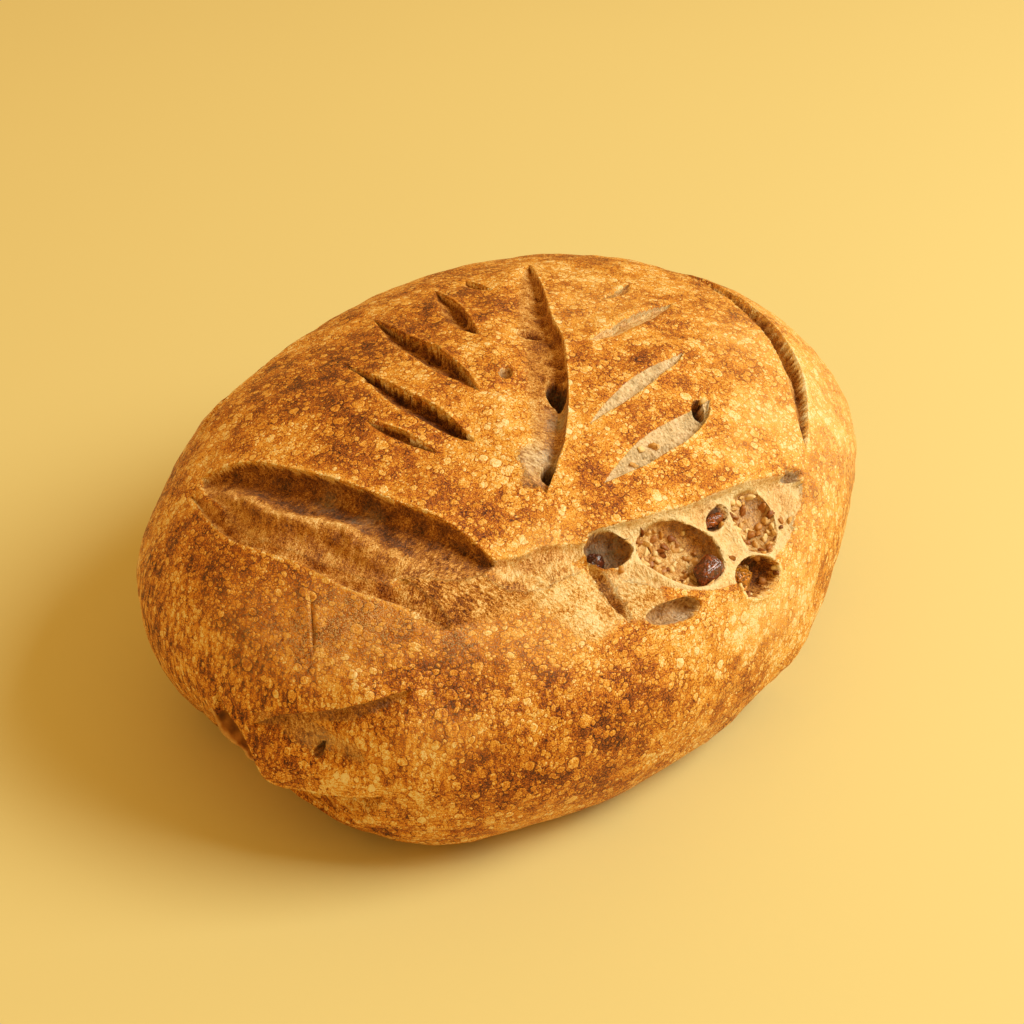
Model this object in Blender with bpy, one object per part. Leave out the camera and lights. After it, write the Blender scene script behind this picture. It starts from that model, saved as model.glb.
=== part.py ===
"""A country sourdough loaf with walnuts: an oval hearth loaf with a leaf cut into its top.

The crust is one closed surface, worked out in two steps. First comes the smooth dome of the
dough, given by its length, width and height. Then the baker's cuts, the bubbles behind them
and the torn dough at one end are pressed into it or raised from it.

A place on the crust is given on the "crust map": the crust unrolled as a disc that is seen
from above. (0, 0) is the top of the loaf, a distance of 1 is its widest line, 2 is the edge
of its flat base, and +X is along the loaf. Lengths are in metres, and +Z is up.
"""

import math

import bmesh
import bpy
import numpy as np
from mathutils import Vector, noise
from mathutils.bvhtree import BVHTree

MM = 0.001

# Driving sizes
LOAF_LENGTH = 270 * MM
LOAF_WIDTH = 210 * MM
LOAF_HEIGHT = 112 * MM
WIDEST_AT = 0.42  # height of the widest line, as a share of the loaf's height
BASE_SHARE = 0.74  # the flat base, as a share of the widest line
PLAN_SQUARENESS = 2.24  # 2 is an ellipse seen from above
DOME_SQUARENESS = 2.35  # 2 is an ellipse seen from the side
BASE_EDGE = 2.0  # map distance of the base's edge
MAP_END = 2.5  # map distance of the middle of the base

# Mesh density
CUBE_CELLS = 8  # cells along each edge of the starting cube
FINE_CRUST_TO = 0.5  # map distance up to which the crust is one level finer
FOOT_RING = (1.4, 2.1)  # map distances between which the rounded foot is one level finer
CUT_SURROUND = 6 * MM  # how far past a cut the mesh is one level finer
CUT_MARGIN = 2 * MM  # how far past a cut the mesh is two levels finer
LIP_MARGIN = 0.3 * MM  # how far past a steep lip the mesh is three levels finer
NARROW_CUT = 11  # width in millimetres up to which a cut is fine all over
SNAP_SHARE = 0.3  # a vertex this near a lip line, as a share of its edge, moves onto it
LINE_REACH = 9 * MM  # how far a lip line looks for the mesh edges that cross it
LINE_FROM = 0.02  # share of its full size at which the line of a cut starts
RELIEF_REACH = 60 * MM  # how far from its path or its middle a cut or a bubble can be felt
STEEP_SHARE = 0.2  # share of a cut's width that its steep wall takes
FOLD_ROUNDS = 40

NUT_GAP = 0.3 * MM

# The baker's cuts. Each follows one lip along map points, and opens to one side of it:
# side 1 is left of the path as seen from outside, -1 is right. width, depth, overhang and lift
# are in millimetres, peak is where along the path it is widest, blunt is how round its ends
# are, and far_power shapes the floor where it climbs to the far lip: under 1 is a crisp lip.
CUTS = {
    "leaf_rib": dict(
        lip=((-0.235, -0.282), (-0.137, -0.232), (0.0, -0.12), (0.113, 0.013), (0.275, 0.208)),
        side=1, width=22, depth=5.5, overhang=1.4, lift=1.2, peak=0.42, blunt=0.6, far_power=1.2,
    ),
    "left_vein_1": dict(
        lip=((0.165, 0.272), (0.138, 0.178)),
        side=-1, width=4.5, depth=3, overhang=0.2, lift=0.5, peak=0.5, blunt=0.7, far_power=0.9,
    ),
    "left_vein_2": dict(
        lip=((0.11, 0.30), (0.06, 0.185), (-0.002, 0.083)),
        side=-1, width=8, depth=5, overhang=0.6, lift=1.0, peak=0.6, blunt=0.7, far_power=1.0,
    ),
    "left_vein_3": dict(
        lip=((-0.012, 0.345), (-0.047, 0.228), (-0.067, 0.13), (-0.092, 0.048), (-0.132, -0.037)),
        side=-1, width=8.5, depth=6, overhang=1.0, lift=1.2, peak=0.6, blunt=0.7, far_power=0.9,
    ),
    "left_vein_4": dict(
        lip=((-0.15, 0.275), (-0.17, 0.163), (-0.195, 0.055), (-0.207, -0.035), (-0.222, -0.11)),
        side=-1, width=7.5, depth=6.5, overhang=1.0, lift=1.2, peak=0.68, blunt=0.7, far_power=0.9,
    ),
    "left_vein_5": dict(
        lip=((-0.27, 0.088), (-0.27, 0.01), (-0.275, -0.077)),
        side=-1, width=3.8, depth=3.5, overhang=0.2, lift=0.8, peak=0.5, blunt=0.7, far_power=0.8,
    ),
    "right_vein_1": dict(
        lip=((0.22, -0.022), (0.312, -0.01)),
        side=-1, width=4, depth=3, overhang=0.2, lift=0.4, peak=0.5, blunt=0.7, far_power=0.9,
    ),
    "right_vein_2": dict(
        lip=((0.068, -0.10), (0.127, -0.10), (0.2, -0.105), (0.288, -0.127)),
        side=-1, width=7, depth=3.5, overhang=0.5, lift=0.8, peak=0.5, blunt=0.7, far_power=1.1,
    ),
    "right_vein_3": dict(
        lip=((-0.092, -0.25), (-0.02, -0.268), (0.05, -0.272), (0.12, -0.265), (0.165, -0.25)),
        side=1, width=7, depth=3.6, overhang=0.3, lift=0.8, peak=0.5, blunt=0.75, far_power=0.9,
    ),
    "right_vein_4": dict(
        lip=((-0.175, -0.352), (-0.10, -0.388), (-0.01, -0.41), (0.06, -0.40), (0.103, -0.37)),
        side=1, width=10, depth=4.6, overhang=0.5, lift=0.8, peak=0.5, blunt=0.75, far_power=0.9,
    ),
    "right_rim": dict(
        lip=((0.53, 0.0), (0.50, -0.11), (0.455, -0.2), (0.41, -0.31), (0.355, -0.41), (0.29, -0.495),
             (0.2, -0.59)),
        side=-1, width=7, depth=5, overhang=1.0, lift=2.0, peak=0.55, blunt=0.6, far_power=1.1,
    ),
    "left_rim": dict(
        lip=((-0.35, 0.482), (-0.28, 0.503), (-0.21, 0.518), (-0.08, 0.53), (0.055, 0.538)),
        side=1, width=8, depth=5.5, overhang=0.8, lift=1.2, peak=0.35, blunt=0.6, far_power=1.0,
    ),
    "left_gash": dict(
        lip=((-0.45, 0.36), (-0.405, 0.25), (-0.40, 0.10), (-0.392, -0.05), (-0.375, -0.19),
             (-0.387, -0.307)),
        side=-1, width=29, depth=7.5, overhang=2.0, lift=2.2, peak=0.52, blunt=0.45, far_power=0.8,
    ),
    "right_gash": dict(
        lip=((-0.262, -0.395), (-0.205, -0.437), (-0.12, -0.50), (-0.052, -0.53), (0.033, -0.567),
             (0.11, -0.61), (0.15, -0.655)),
        side=-1, width=28, depth=5.5, overhang=0.8, lift=1.4, peak=0.5, blunt=0.35, far_power=0.7,
    ),
    "front_lip": dict(
        lip=((-0.40, -0.28), (-0.36, -0.33), (-0.322, -0.352), (-0.27, -0.42)),
        side=-1, width=12, depth=3.2, overhang=0.3, lift=1.2, peak=0.5, blunt=0.5, far_power=2.0,
    ),
    "front_slot": dict(
        lip=((-0.287, -0.415), (-0.31, -0.45), (-0.33, -0.52), (-0.345, -0.6)),
        side=1, width=4.0, depth=4.5, overhang=0.4, lift=0.6, peak=0.6, blunt=0.7, far_power=0.9,
    ),
    "end_tear": dict(
        lip=((-0.985, 0.0), (-0.90, -0.105), (-0.832, -0.20), (-0.74, -0.29), (-0.68, -0.34)),
        side=-1, width=16, depth=4.5, overhang=0.3, lift=0.4, peak=0.5, blunt=0.6, far_power=1.2,
    ),
    "end_ledge": dict(
        lip=((-0.93, 0.13), (-1.00, 0.065), (-1.10, 0.02), (-1.19, -0.045), (-1.22, -0.14), (-1.19, -0.25),
             (-1.13, -0.36), (-1.08, -0.45)),
        side=-1, width=20, depth=9.0, overhang=1.6, lift=2.2, peak=0.5, blunt=0.55, far_power=0.8,
    ),
}

# Round hollows: middle and the point that the long axis runs towards, on the map, then
# half-lengths, depth below the crust and height of the rim, in millimetres.
BUBBLES = {
    "big_bubble": dict(at=(-0.178, -0.574), towards=(-0.128, -0.664), half=(15.5, 10.5), depth=10.5, rim=1.8),
    "left_bubble": dict(at=(-0.262, -0.45), towards=(-0.30, -0.42), half=(8.0, 6.0), depth=9.5, rim=1.2),
    "upper_bubble": dict(at=(-0.005, -0.655), towards=(0.03, -0.60), half=(11.0, 9.0), depth=8.5, rim=1.2),
    "lower_bubble": dict(at=(-0.081, -0.763), towards=(-0.023, -0.80), half=(10.5, 6.5), depth=9.5, rim=1.2),
    "sliver_bubble": dict(at=(-0.067, -0.583), towards=(-0.027, -0.573), half=(6.2, 3.2), depth=7.0, rim=0.8),
    "lip_hollow": dict(at=(-0.275, -0.655), towards=(-0.213, -0.70), half=(10.0, 3.6), depth=6.5, rim=0.6),
    "rib_cave": dict(at=(-0.055, -0.137), towards=(-0.02, -0.10), half=(8.0, 3.6), depth=15.0, rim=0.3),
    "rib_cave_low": dict(at=(-0.203, -0.253), towards=(-0.17, -0.235), half=(4.5, 2.4), depth=12.0, rim=0.2),
    "rib_pore": dict(at=(0.053, 0.022), towards=(0.066, 0.0), half=(4.4, 2.9), depth=8.5, rim=0.3),
    "rib_crack": dict(at=(-0.068, -0.038), towards=(-0.02, 0.0), half=(4.0, 2.4), depth=4.0, rim=0.2),
    "vein_3_pore": dict(at=(-0.075, 0.125), towards=(-0.085, 0.08), half=(3.4, 2.4), depth=8.5, rim=0.2),
    "vein_4_pore": dict(at=(-0.18, 0.163), towards=(-0.19, 0.10), half=(3.0, 2.2), depth=8.0, rim=0.2),
    "vein_right_pore": dict(at=(0.066, -0.372), towards=(0.09, -0.35), half=(3.6, 2.6), depth=9.0, rim=0.3),
    "gash_end_pore": dict(at=(0.125, -0.62), towards=(0.16, -0.64), half=(4.6, 2.4), depth=5.0, rim=0.3),
}

# Soft lumps and hollows of the whole dough: map place, reach on the map, height in millimetres.
SWELLS = (
    ((-0.45, -0.42), 0.17, -3.5),  # the stretched dough at the front, where the two gashes meet
    ((-0.535, -0.44), 0.06, 1.8),  # a smooth bump in it
    ((-0.80, 0.25), 0.30, 1.5),  # fuller flank under the left gash
    ((-0.75, 0.68), 0.30, 2.2),
    ((0.40, -0.75), 0.22, 1.0),  # shoulder beyond the right gash
    ((0.66, -0.98), 0.30, -2.8),  # flatter flank below it
    ((0.12, -1.33), 0.16, 2.6),  # foot that spreads at the front
    ((0.13, -0.20), 0.16, 1.2),  # the leaf's right half
    ((-0.14, 0.10), 0.16, 1.0),  # the leaf's left half
    ((-0.965, -0.23), 0.085, -4.5),  # torn hollow at the end, over the shelf
    ((-1.20, -0.06), 0.10, 3.5),  # the shelf's corner
)

# Where the foot spreads or draws in: map place, reach on the map, distance in millimetres.
FOOT_SPREADS = (
    ((-1.50, -0.78), 0.45, 6.0),
    ((-1.43, 0.30), 0.28, -7.0),
)
FOOT_FOLLOWS = 1.75  # map distance past which the base moves with its edge

# The ridge of torn dough along the middle of the left gash.
RIDGE_PATH = ((-0.47, 0.29), (-0.48, 0.19), (-0.497, 0.09), (-0.475, -0.035), (-0.475, -0.122), (-0.46, -0.20))
RIDGE_HEIGHT = 6.0 * MM
RIDGE_HALF = 4.2 * MM

CRAG_SIZE = 7 * MM
CRAG_HEIGHT = 0.9 * MM
LUMP_SIZE = 32 * MM
LUMP_HEIGHT = 1.1 * MM

# Walnut pieces baked into the right gash: map place, half-sizes along the map's X, across it
# and out of the crust, turn about the crust's normal, height of their middle above the floor
# of the gash, and a seed.
NUTS = {
    "walnut_large": dict(at=(-0.155, -0.663), half=(6.6, 5.8, 4.8), turn=25, proud=2.8, seed=3),
    "walnut_amber": dict(at=(-0.093, -0.765), half=(4.6, 4.2, 4.2), turn=70, proud=4.0, seed=7),
    "walnut_sliver": dict(at=(-0.067, -0.583), half=(5.0, 2.2, 2.6), turn=-15, proud=1.6, seed=11),
    "walnut_dark": dict(at=(-0.268, -0.444), half=(4.6, 3.4, 3.2), turn=40, proud=0.4, seed=5),
}


def clear_scene():
    for obj in list(bpy.data.objects):
        bpy.data.objects.remove(obj)


def dome_section(rho):
    """Share of the widest outline and height at a map distance, down one side of the loaf."""
    widest = WIDEST_AT * LOAF_HEIGHT
    turn = np.clip(rho, 0, 1) * math.pi / 2
    sine, cosine = np.sin(turn), np.cos(turn)
    reach = (sine**DOME_SQUARENESS + cosine**DOME_SQUARENESS) ** (-1 / DOME_SQUARENESS)
    share = reach * sine
    height = widest + (LOAF_HEIGHT - widest) * reach * cosine
    tuck = np.clip(rho - 1, 0, 1) * math.pi / 2
    share = np.where(rho > 1, BASE_SHARE + (1 - BASE_SHARE) * np.cos(tuck), share)
    height = np.where(rho > 1, widest * (1 - np.sin(tuck)), height)
    inward = np.clip((MAP_END - rho) / (MAP_END - BASE_EDGE), 0, 1)
    return np.where(rho > BASE_EDGE, BASE_SHARE * inward, share), height


def dome_points(places):
    """Points of the smooth dome for map places, an array of (x, y)."""
    rho = np.hypot(places[:, 0], places[:, 1])
    safe = np.maximum(rho, 1e-9)
    cosine, sine = places[:, 0] / safe, places[:, 1] / safe
    corner = np.abs(cosine) ** PLAN_SQUARENESS + np.abs(sine) ** PLAN_SQUARENESS
    corner = np.where(rho < 1e-9, 1.0, corner) ** (-1 / PLAN_SQUARENESS)
    share, height = dome_section(rho)
    x = LOAF_LENGTH / 2 * corner * cosine * share
    y = LOAF_WIDTH / 2 * corner * sine * share
    return np.stack([x, y, height], axis=1)


def unit(vectors):
    return vectors / np.maximum(np.linalg.norm(vectors, axis=-1, keepdims=True), 1e-12)


def dome_normals(places):
    step = 0.004
    along_x = dome_points(places + (step, 0)) - dome_points(places - (step, 0))
    along_y = dome_points(places + (0, step)) - dome_points(places - (0, step))
    return unit(np.cross(along_x, along_y))


def smooth_path(controls, count=48):
    """Map points along a smooth curve through the control points."""
    points = np.array(controls, float)
    points = np.vstack([2 * points[0] - points[1], points, 2 * points[-1] - points[-2]])
    spans = len(points) - 3
    place = np.linspace(0, spans, count)
    index = np.minimum(place.astype(int), spans - 1)
    t = (place - index)[:, None]
    a, b, c, d = (points[index + k] for k in range(4))
    return 0.5 * (2 * b + (c - a) * t + (2 * a - 5 * b + 4 * c - d) * t**2 + (3 * b - a - 3 * c + d) * t**3)


class Lip:
    """A path on the dome, and where any point lies along it and beside it."""

    def __init__(self, controls, side=1):
        places = smooth_path(controls)
        self.points = dome_points(places)
        self.forward = unit(np.gradient(self.points, axis=0))
        self.beside = unit(np.cross(dome_normals(places), self.forward)) * side
        steps = np.linalg.norm(np.diff(self.points, axis=0), axis=1)
        self.along = np.concatenate([[0], np.cumsum(steps)])
        self.length = self.along[-1]

    def locate(self, points):
        """Share along the path, distance to its open side, and that sideways direction."""
        gaps = points[:, None, :] - self.points[None, :, :]
        nearest = np.einsum("ijk,ijk->ij", gaps, gaps).argmin(axis=1)
        gap = points - self.points[nearest]
        forward = np.einsum("ij,ij->i", gap, self.forward[nearest])
        share = (self.along[nearest] + forward) / self.length
        share = np.where(np.linalg.norm(gap, axis=1) > RELIEF_REACH, -1, share)
        return share, np.einsum("ij,ij->i", gap, self.beside[nearest]), self.beside[nearest]


def taper(share, peak, blunt):
    """1 at the peak, 0 at both ends of a path and beyond them."""
    inside = np.clip(share, 0, 1) ** (math.log(0.5) / math.log(peak))
    return np.maximum(np.sin(math.pi * inside), 0) ** blunt


def fade(value, start, end):
    t = np.clip((value - start) / (end - start), 0, 1)
    return t * t * (3 - 2 * t)


def cut_region(cut, points):
    lip = Lip(cut["lip"], cut["side"])
    share, across, beside = lip.locate(points)
    size = taper(share, cut["peak"], cut["blunt"])
    return size, across, beside, size * cut["width"] * MM


def cut_relief(cut, points):
    """Rise of the lips, depth of the floor, and the sideways shift that makes the overhang."""
    size, across, beside, width = cut_region(cut, points)
    v = across / np.maximum(width, 1e-6)
    inside = (v > 0) & (v < 1) & (size > 0)
    v = np.clip(v, 0, 1)
    wall = 1 - (1 - np.minimum(v / STEEP_SHARE, 1)) ** 2
    depth = np.where(inside, cut["depth"] * MM * np.sqrt(size) * wall * (1 - v) ** cut["far_power"], 0)
    lift = cut["lift"] * MM * size
    reach = (3 + cut["lift"] * 4) * MM
    rise = np.where(across <= 0, lift * np.exp(np.minimum(across, 0) / reach), lift * (1 - wall) * inside)
    far = np.where(across >= width, 0.35 * lift * np.exp(-np.maximum(across - width, 0) / reach), 0)
    under = v / STEEP_SHARE * np.exp(1 - v / STEEP_SHARE) * inside
    shift = -beside * (cut["overhang"] * MM * size * under)[:, None]
    return rise + far * (size > 0), depth, shift


def bubble_frame(bubble):
    """Middle of a bubble on the dome, with its long and short directions."""
    at = np.array([bubble["at"]], float)
    towards = np.array([bubble["towards"]], float)
    middle = dome_points(at)[0]
    normal = dome_normals(at)[0]
    long_way = dome_points(towards)[0] - middle
    long_way = unit(long_way - normal * (long_way @ normal))
    return middle, long_way, np.cross(normal, long_way)


def bubble_distance(bubble, points):
    """1 on the rim of a bubble, 0 at its middle."""
    middle, long_way, short_way = bubble_frame(bubble)
    gap = points - middle
    along = gap @ long_way / (bubble["half"][0] * MM)
    across = gap @ short_way / (bubble["half"][1] * MM)
    away = np.linalg.norm(gap, axis=1) / RELIEF_REACH
    return np.hypot(along, across) + np.where(away > 1, 9, 0)


def bubble_relief(bubble, points):
    r = bubble_distance(bubble, points)
    pit = bubble["depth"] * MM * np.sqrt(np.clip(1 - r**2.5, 0, 1))
    ring = bubble["rim"] * MM * np.exp(-(((r - 1.05) / 0.16) ** 2))
    return ring * (r > 0.9), pit


def swell(places):
    total = np.zeros(len(places))
    for (x, y), reach, height in SWELLS:
        away = np.hypot(places[:, 0] - x, places[:, 1] - y)
        total += height * MM * np.exp(-((away / reach) ** 2))
    return total


def foot_spread(places, points):
    """Sideways moves of the foot. The flat base goes along with its edge."""
    rho = np.hypot(places[:, 0], places[:, 1])
    held = places * (np.minimum(rho, FOOT_FOLLOWS) / np.maximum(rho, 1e-9))[:, None]
    total = np.zeros(len(places))
    for (x, y), reach, distance in FOOT_SPREADS:
        away = np.hypot(held[:, 0] - x, held[:, 1] - y)
        total += distance * MM * np.exp(-((away / reach) ** 2))
    outward = points * (1, 1, 0) / (LOAF_WIDTH / 2)
    return outward * total[:, None]


def rough(points, size, seed):
    """Smooth noise from -1 to 1 with lumps of the given size."""
    shift = Vector((seed * 3.1, seed * 1.7, seed * 5.3))
    return np.array([noise.noise(Vector(p) / size + shift) for p in points])


def shape_crust(places):
    """The finished crust points for map places."""
    points = dome_points(places)
    normals = dome_normals(places)
    rise = swell(places)
    depth = np.zeros(len(places))
    shift = np.zeros_like(points)
    for cut in CUTS.values():
        lifted, cut_depth, aside = cut_relief(cut, points)
        rise += lifted
        depth = np.maximum(depth, cut_depth)
        shift += aside
    ridge, across, _ = Lip(RIDGE_PATH).locate(points)
    rise += RIDGE_HEIGHT * taper(ridge, 0.5, 0.5) * np.exp(-((across / RIDGE_HALF) ** 2))
    for bubble in BUBBLES.values():
        ring, pit = bubble_relief(bubble, points)
        rise += ring
        depth = np.maximum(depth, pit)
    torn = fade(depth, 0.5 * MM, 2.5 * MM)
    rise += CRAG_HEIGHT * torn * rough(points, CRAG_SIZE, seed=1)
    rise += LUMP_HEIGHT * rough(points, LUMP_SIZE, seed=2)
    rho = np.hypot(places[:, 0], places[:, 1])
    standing = 1 - fade(rho, 1.55, 1.95)
    shaped = points + normals * ((rise - depth) * standing)[:, None] + shift * standing[:, None]
    shaped += foot_spread(places, points)
    shaped[:, 2] = np.where(rho >= BASE_EDGE, 0, np.maximum(shaped[:, 2], 0))
    return shaped


def map_places(directions):
    """Map places for directions from the middle of a sphere: up is (0, 0), down is MAP_END."""
    share = np.arccos(np.clip(directions[:, 2], -1, 1)) / math.pi
    linear = 1.523
    rho = linear * share + (MAP_END - linear) * share**3
    around = np.arctan2(directions[:, 1], directions[:, 0])
    return np.stack([rho * np.cos(around), rho * np.sin(around)], axis=1)


def round_crust(places):
    """True on the top of the loaf and on its rounded foot."""
    rho = np.hypot(places[:, 0], places[:, 1])
    return (rho < FINE_CRUST_TO) | ((rho > FOOT_RING[0]) & (rho < FOOT_RING[1]))


def near_cut(points, margin):
    """True where a point lies in a cut or a bubble, or within the margin of one."""
    near = np.zeros(len(points), bool)
    for cut in CUTS.values():
        size, across, _, width = cut_region(cut, points)
        near |= (size > 0) & (across > -margin) & (across < width + margin)
    for bubble in BUBBLES.values():
        near |= bubble_distance(bubble, points) < 1 + margin / (bubble["half"][1] * MM)
    return near


def near_lip(points, margin):
    """True where a point lies on the steep wall of a cut or on the rim of a bubble."""
    near = np.zeros(len(points), bool)
    for cut in CUTS.values():
        size, across, _, width = cut_region(cut, points)
        wall = width if cut["width"] < NARROW_CUT else STEEP_SHARE * width
        near |= (size > 0.1) & (across > -margin) & (across < wall + margin)
    for bubble in BUBBLES.values():
        r = bubble_distance(bubble, points)
        reach = margin / (bubble["half"][1] * MM)
        near |= (r < 1 + reach) & (r > 0.62 - reach)
    return near


def sphere_grid(cells):
    """A cube of quads blown up to a sphere, with even angles between its lines."""
    bm = bmesh.new()
    bmesh.ops.create_cube(bm, size=2)
    bmesh.ops.subdivide_edges(bm, edges=bm.edges[:], cuts=cells - 1, use_grid_fill=True)
    for v in bm.verts:
        v.co = Vector([math.tan(c * math.pi / 4) for c in v.co]).normalized()
    return bm


def refine(bm, wanted):
    """Splits the faces that wanted(places, points) picks, and puts the new points on the sphere."""
    bm.faces.ensure_lookup_table()
    places = map_places(unit(np.array([f.calc_center_median() for f in bm.faces])))
    picked = wanted(places, dome_points(places))
    edges = {e for f, pick in zip(bm.faces, picked) if pick for e in f.edges}
    bmesh.ops.subdivide_edges(bm, edges=list(edges), cuts=1, use_grid_fill=True)
    for v in bm.verts:
        v.co.normalize()


def lip_lines():
    """One function for each line where the slope of the crust breaks: its signed distance."""
    lines = []
    for cut in CUTS.values():
        for share in (0, STEEP_SHARE, 1):
            def beside(points, cut=cut, share=share):
                size, across, _, width = cut_region(cut, points)
                miss = across - share * width
                return np.where((size > LINE_FROM) & (np.abs(miss) < LINE_REACH), miss, np.nan)
            lines.append(beside)
    for bubble in BUBBLES.values():
        def outside(points, bubble=bubble):
            return (bubble_distance(bubble, points) - 1) * bubble["half"][1] * MM
        lines.append(outside)
    return lines


def run_edges_along(bm, line, pinned):
    """Moves or splits edges so that mesh edges follow the line where the function is zero.

    pinned holds the points of the lines before, which stay where they are.
    """
    bm.verts.index_update()
    verts = list(bm.verts)
    value = line(dome_points(map_places(unit(np.array([v.co for v in verts])))))
    moves = {}
    for e in bm.edges:
        a, b = e.verts
        va, vb = value[a.index], value[b.index]
        if va * vb < 0:
            t = va / (va - vb)
            for v, other, reach in ((a, b, t), (b, a, 1 - t)):
                if v not in pinned and reach < SNAP_SHARE and reach < moves.get(v, (1,))[0]:
                    moves[v] = (reach, v.co.lerp(other.co, reach).normalized())
    on_line = list(moves)
    for v, (_, place) in moves.items():
        v.co = place
        value[v.index] = 0
    for e in list(bm.edges):
        a, b = e.verts
        va, vb = value[a.index], value[b.index]
        if va * vb < 0:
            t = va / (va - vb)
            place = a.co.lerp(b.co, t).normalized()
            _, middle = bmesh.utils.edge_split(e, a, t)
            middle.co = place
            on_line.append(middle)
    bmesh.ops.connect_verts(bm, verts=on_line)
    pinned.update(on_line)


def new_object(name, bm, collection, material=None):
    mesh = bpy.data.meshes.new(name)
    bmesh.ops.recalc_face_normals(bm, faces=bm.faces[:])
    bm.to_mesh(mesh)
    bm.free()
    mesh.shade_smooth()
    if material:
        mesh.materials.append(material)
    obj = bpy.data.objects.new(name, mesh)
    collection.objects.link(obj)
    return obj


def make_material(name, color, roughness):
    material = bpy.data.materials.new(name)
    material.use_nodes = True
    shader = material.node_tree.nodes["Principled BSDF"]
    shader.inputs["Base Color"].default_value = (*color, 1)
    shader.inputs["Roughness"].default_value = roughness
    shader.inputs["Metallic"].default_value = 0
    return material


def loaf_offset(bm):
    """Puts the middle of the loaf's base box on the origin."""
    points = np.array([v.co for v in bm.verts])
    low, high = points.min(axis=0), points.max(axis=0)
    return Vector((-(low[0] + high[0]) / 2, -(low[1] + high[1]) / 2, -low[2]))


def ease_folds(bm):
    """Relaxes the places where the torn crust would pass through itself."""
    for _ in range(FOLD_ROUNDS):
        bm.faces.ensure_lookup_table()
        tree = BVHTree.FromBMesh(bm)
        folded = set()
        for a, b in tree.overlap(tree):
            pair = (set(bm.faces[a].verts), set(bm.faces[b].verts))
            if not pair[0] & pair[1]:
                folded |= pair[0] | pair[1]
        if not folded:
            return
        eased = {v: sum((e.other_vert(v).co for e in v.link_edges), Vector()) / len(v.link_edges) for v in folded}
        for v, middle in eased.items():
            v.co = v.co.lerp(middle, 0.5)


def make_loaf(collection, material):
    bm = sphere_grid(CUBE_CELLS)
    refine(bm, lambda m, p: round_crust(m) | near_cut(p, CUT_SURROUND))
    refine(bm, lambda m, p: near_cut(p, CUT_MARGIN))
    refine(bm, lambda m, p: near_lip(p, LIP_MARGIN))
    pinned = set()
    for line in lip_lines():
        run_edges_along(bm, line, pinned)
    bmesh.ops.triangulate(bm, faces=bm.faces[:])
    places = map_places(np.array([v.co for v in bm.verts]))
    for v, point in zip(bm.verts, shape_crust(places)):
        v.co = point
    ease_folds(bm)
    offset = loaf_offset(bm)
    bmesh.ops.translate(bm, verts=bm.verts[:], vec=offset)
    return new_object("loaf", bm, collection, material), offset


def make_nut(name, nut, offset, swollen, collection, material=None):
    """A broken walnut piece: an oval with lobes and furrows, set on the crust by its map place."""
    at = np.array([nut["at"]], float)
    normal = Vector(dome_normals(at)[0])
    along = Vector((1, 0, 0))
    along = (along - normal * along.dot(normal)).normalized()
    bm = bmesh.new()
    bmesh.ops.create_icosphere(bm, subdivisions=3, radius=1)
    seed = Vector((nut["seed"], nut["seed"] * 2, nut["seed"] * 3))
    turn = math.radians(nut["turn"])
    ways = (
        along * math.cos(turn) + normal.cross(along) * math.sin(turn),
        normal.cross(along) * math.cos(turn) - along * math.sin(turn),
        normal,
    )
    middle = Vector(shape_crust(at)[0]) + normal * nut["proud"] * MM + offset
    for v in bm.verts:
        furrow = abs(noise.noise(v.co * 1.9 + seed))
        lobes = 1 + 0.22 * noise.noise(v.co * 1.1 + seed) - 0.25 * max(0, 0.25 - furrow)
        sizes = [half * MM * lobes + swollen for half in nut["half"]]
        v.co = middle + sum((way * c * size for way, c, size in zip(ways, v.co, sizes)), Vector())
    return new_object(name, bm, collection, material)


def main():
    clear_scene()
    parts = bpy.data.collections.new("sourdough_loaf")
    cutters = bpy.data.collections.new("nut_sockets")
    for collection in (parts, cutters):
        bpy.context.scene.collection.children.link(collection)
    crust = make_material("golden crust", (0.50, 0.23, 0.06), 0.7)
    walnut = make_material("walnut skin", (0.16, 0.05, 0.02), 0.45)
    loaf, offset = make_loaf(parts, crust)
    for name, nut in NUTS.items():
        make_nut(name, nut, offset, 0, parts, walnut)
        socket = make_nut(name + "_socket", nut, offset, NUT_GAP, cutters)
        socket.hide_render = True
        socket.display_type = "WIRE"
    sockets = loaf.modifiers.new("nut sockets", "BOOLEAN")
    sockets.operation = "DIFFERENCE"
    sockets.operand_type = "COLLECTION"
    sockets.collection = cutters


main()
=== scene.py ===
import functools
import math

import bmesh
import bpy
import numpy as np
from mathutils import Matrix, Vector, noise


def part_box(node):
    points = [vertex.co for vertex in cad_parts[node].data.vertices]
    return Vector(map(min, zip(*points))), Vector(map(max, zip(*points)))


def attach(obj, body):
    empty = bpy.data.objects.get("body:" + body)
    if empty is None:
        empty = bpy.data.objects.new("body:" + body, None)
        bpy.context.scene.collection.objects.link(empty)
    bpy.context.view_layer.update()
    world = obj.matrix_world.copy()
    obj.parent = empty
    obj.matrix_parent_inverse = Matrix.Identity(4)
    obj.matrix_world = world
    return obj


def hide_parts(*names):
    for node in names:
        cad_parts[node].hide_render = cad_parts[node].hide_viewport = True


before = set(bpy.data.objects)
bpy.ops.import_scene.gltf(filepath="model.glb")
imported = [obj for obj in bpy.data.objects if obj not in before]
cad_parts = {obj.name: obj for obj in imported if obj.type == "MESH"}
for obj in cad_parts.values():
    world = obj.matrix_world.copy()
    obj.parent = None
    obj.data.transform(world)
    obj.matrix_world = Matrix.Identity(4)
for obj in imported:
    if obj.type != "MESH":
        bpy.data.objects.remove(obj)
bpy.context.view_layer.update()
mm = 0.001


# ---- small helpers

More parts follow.
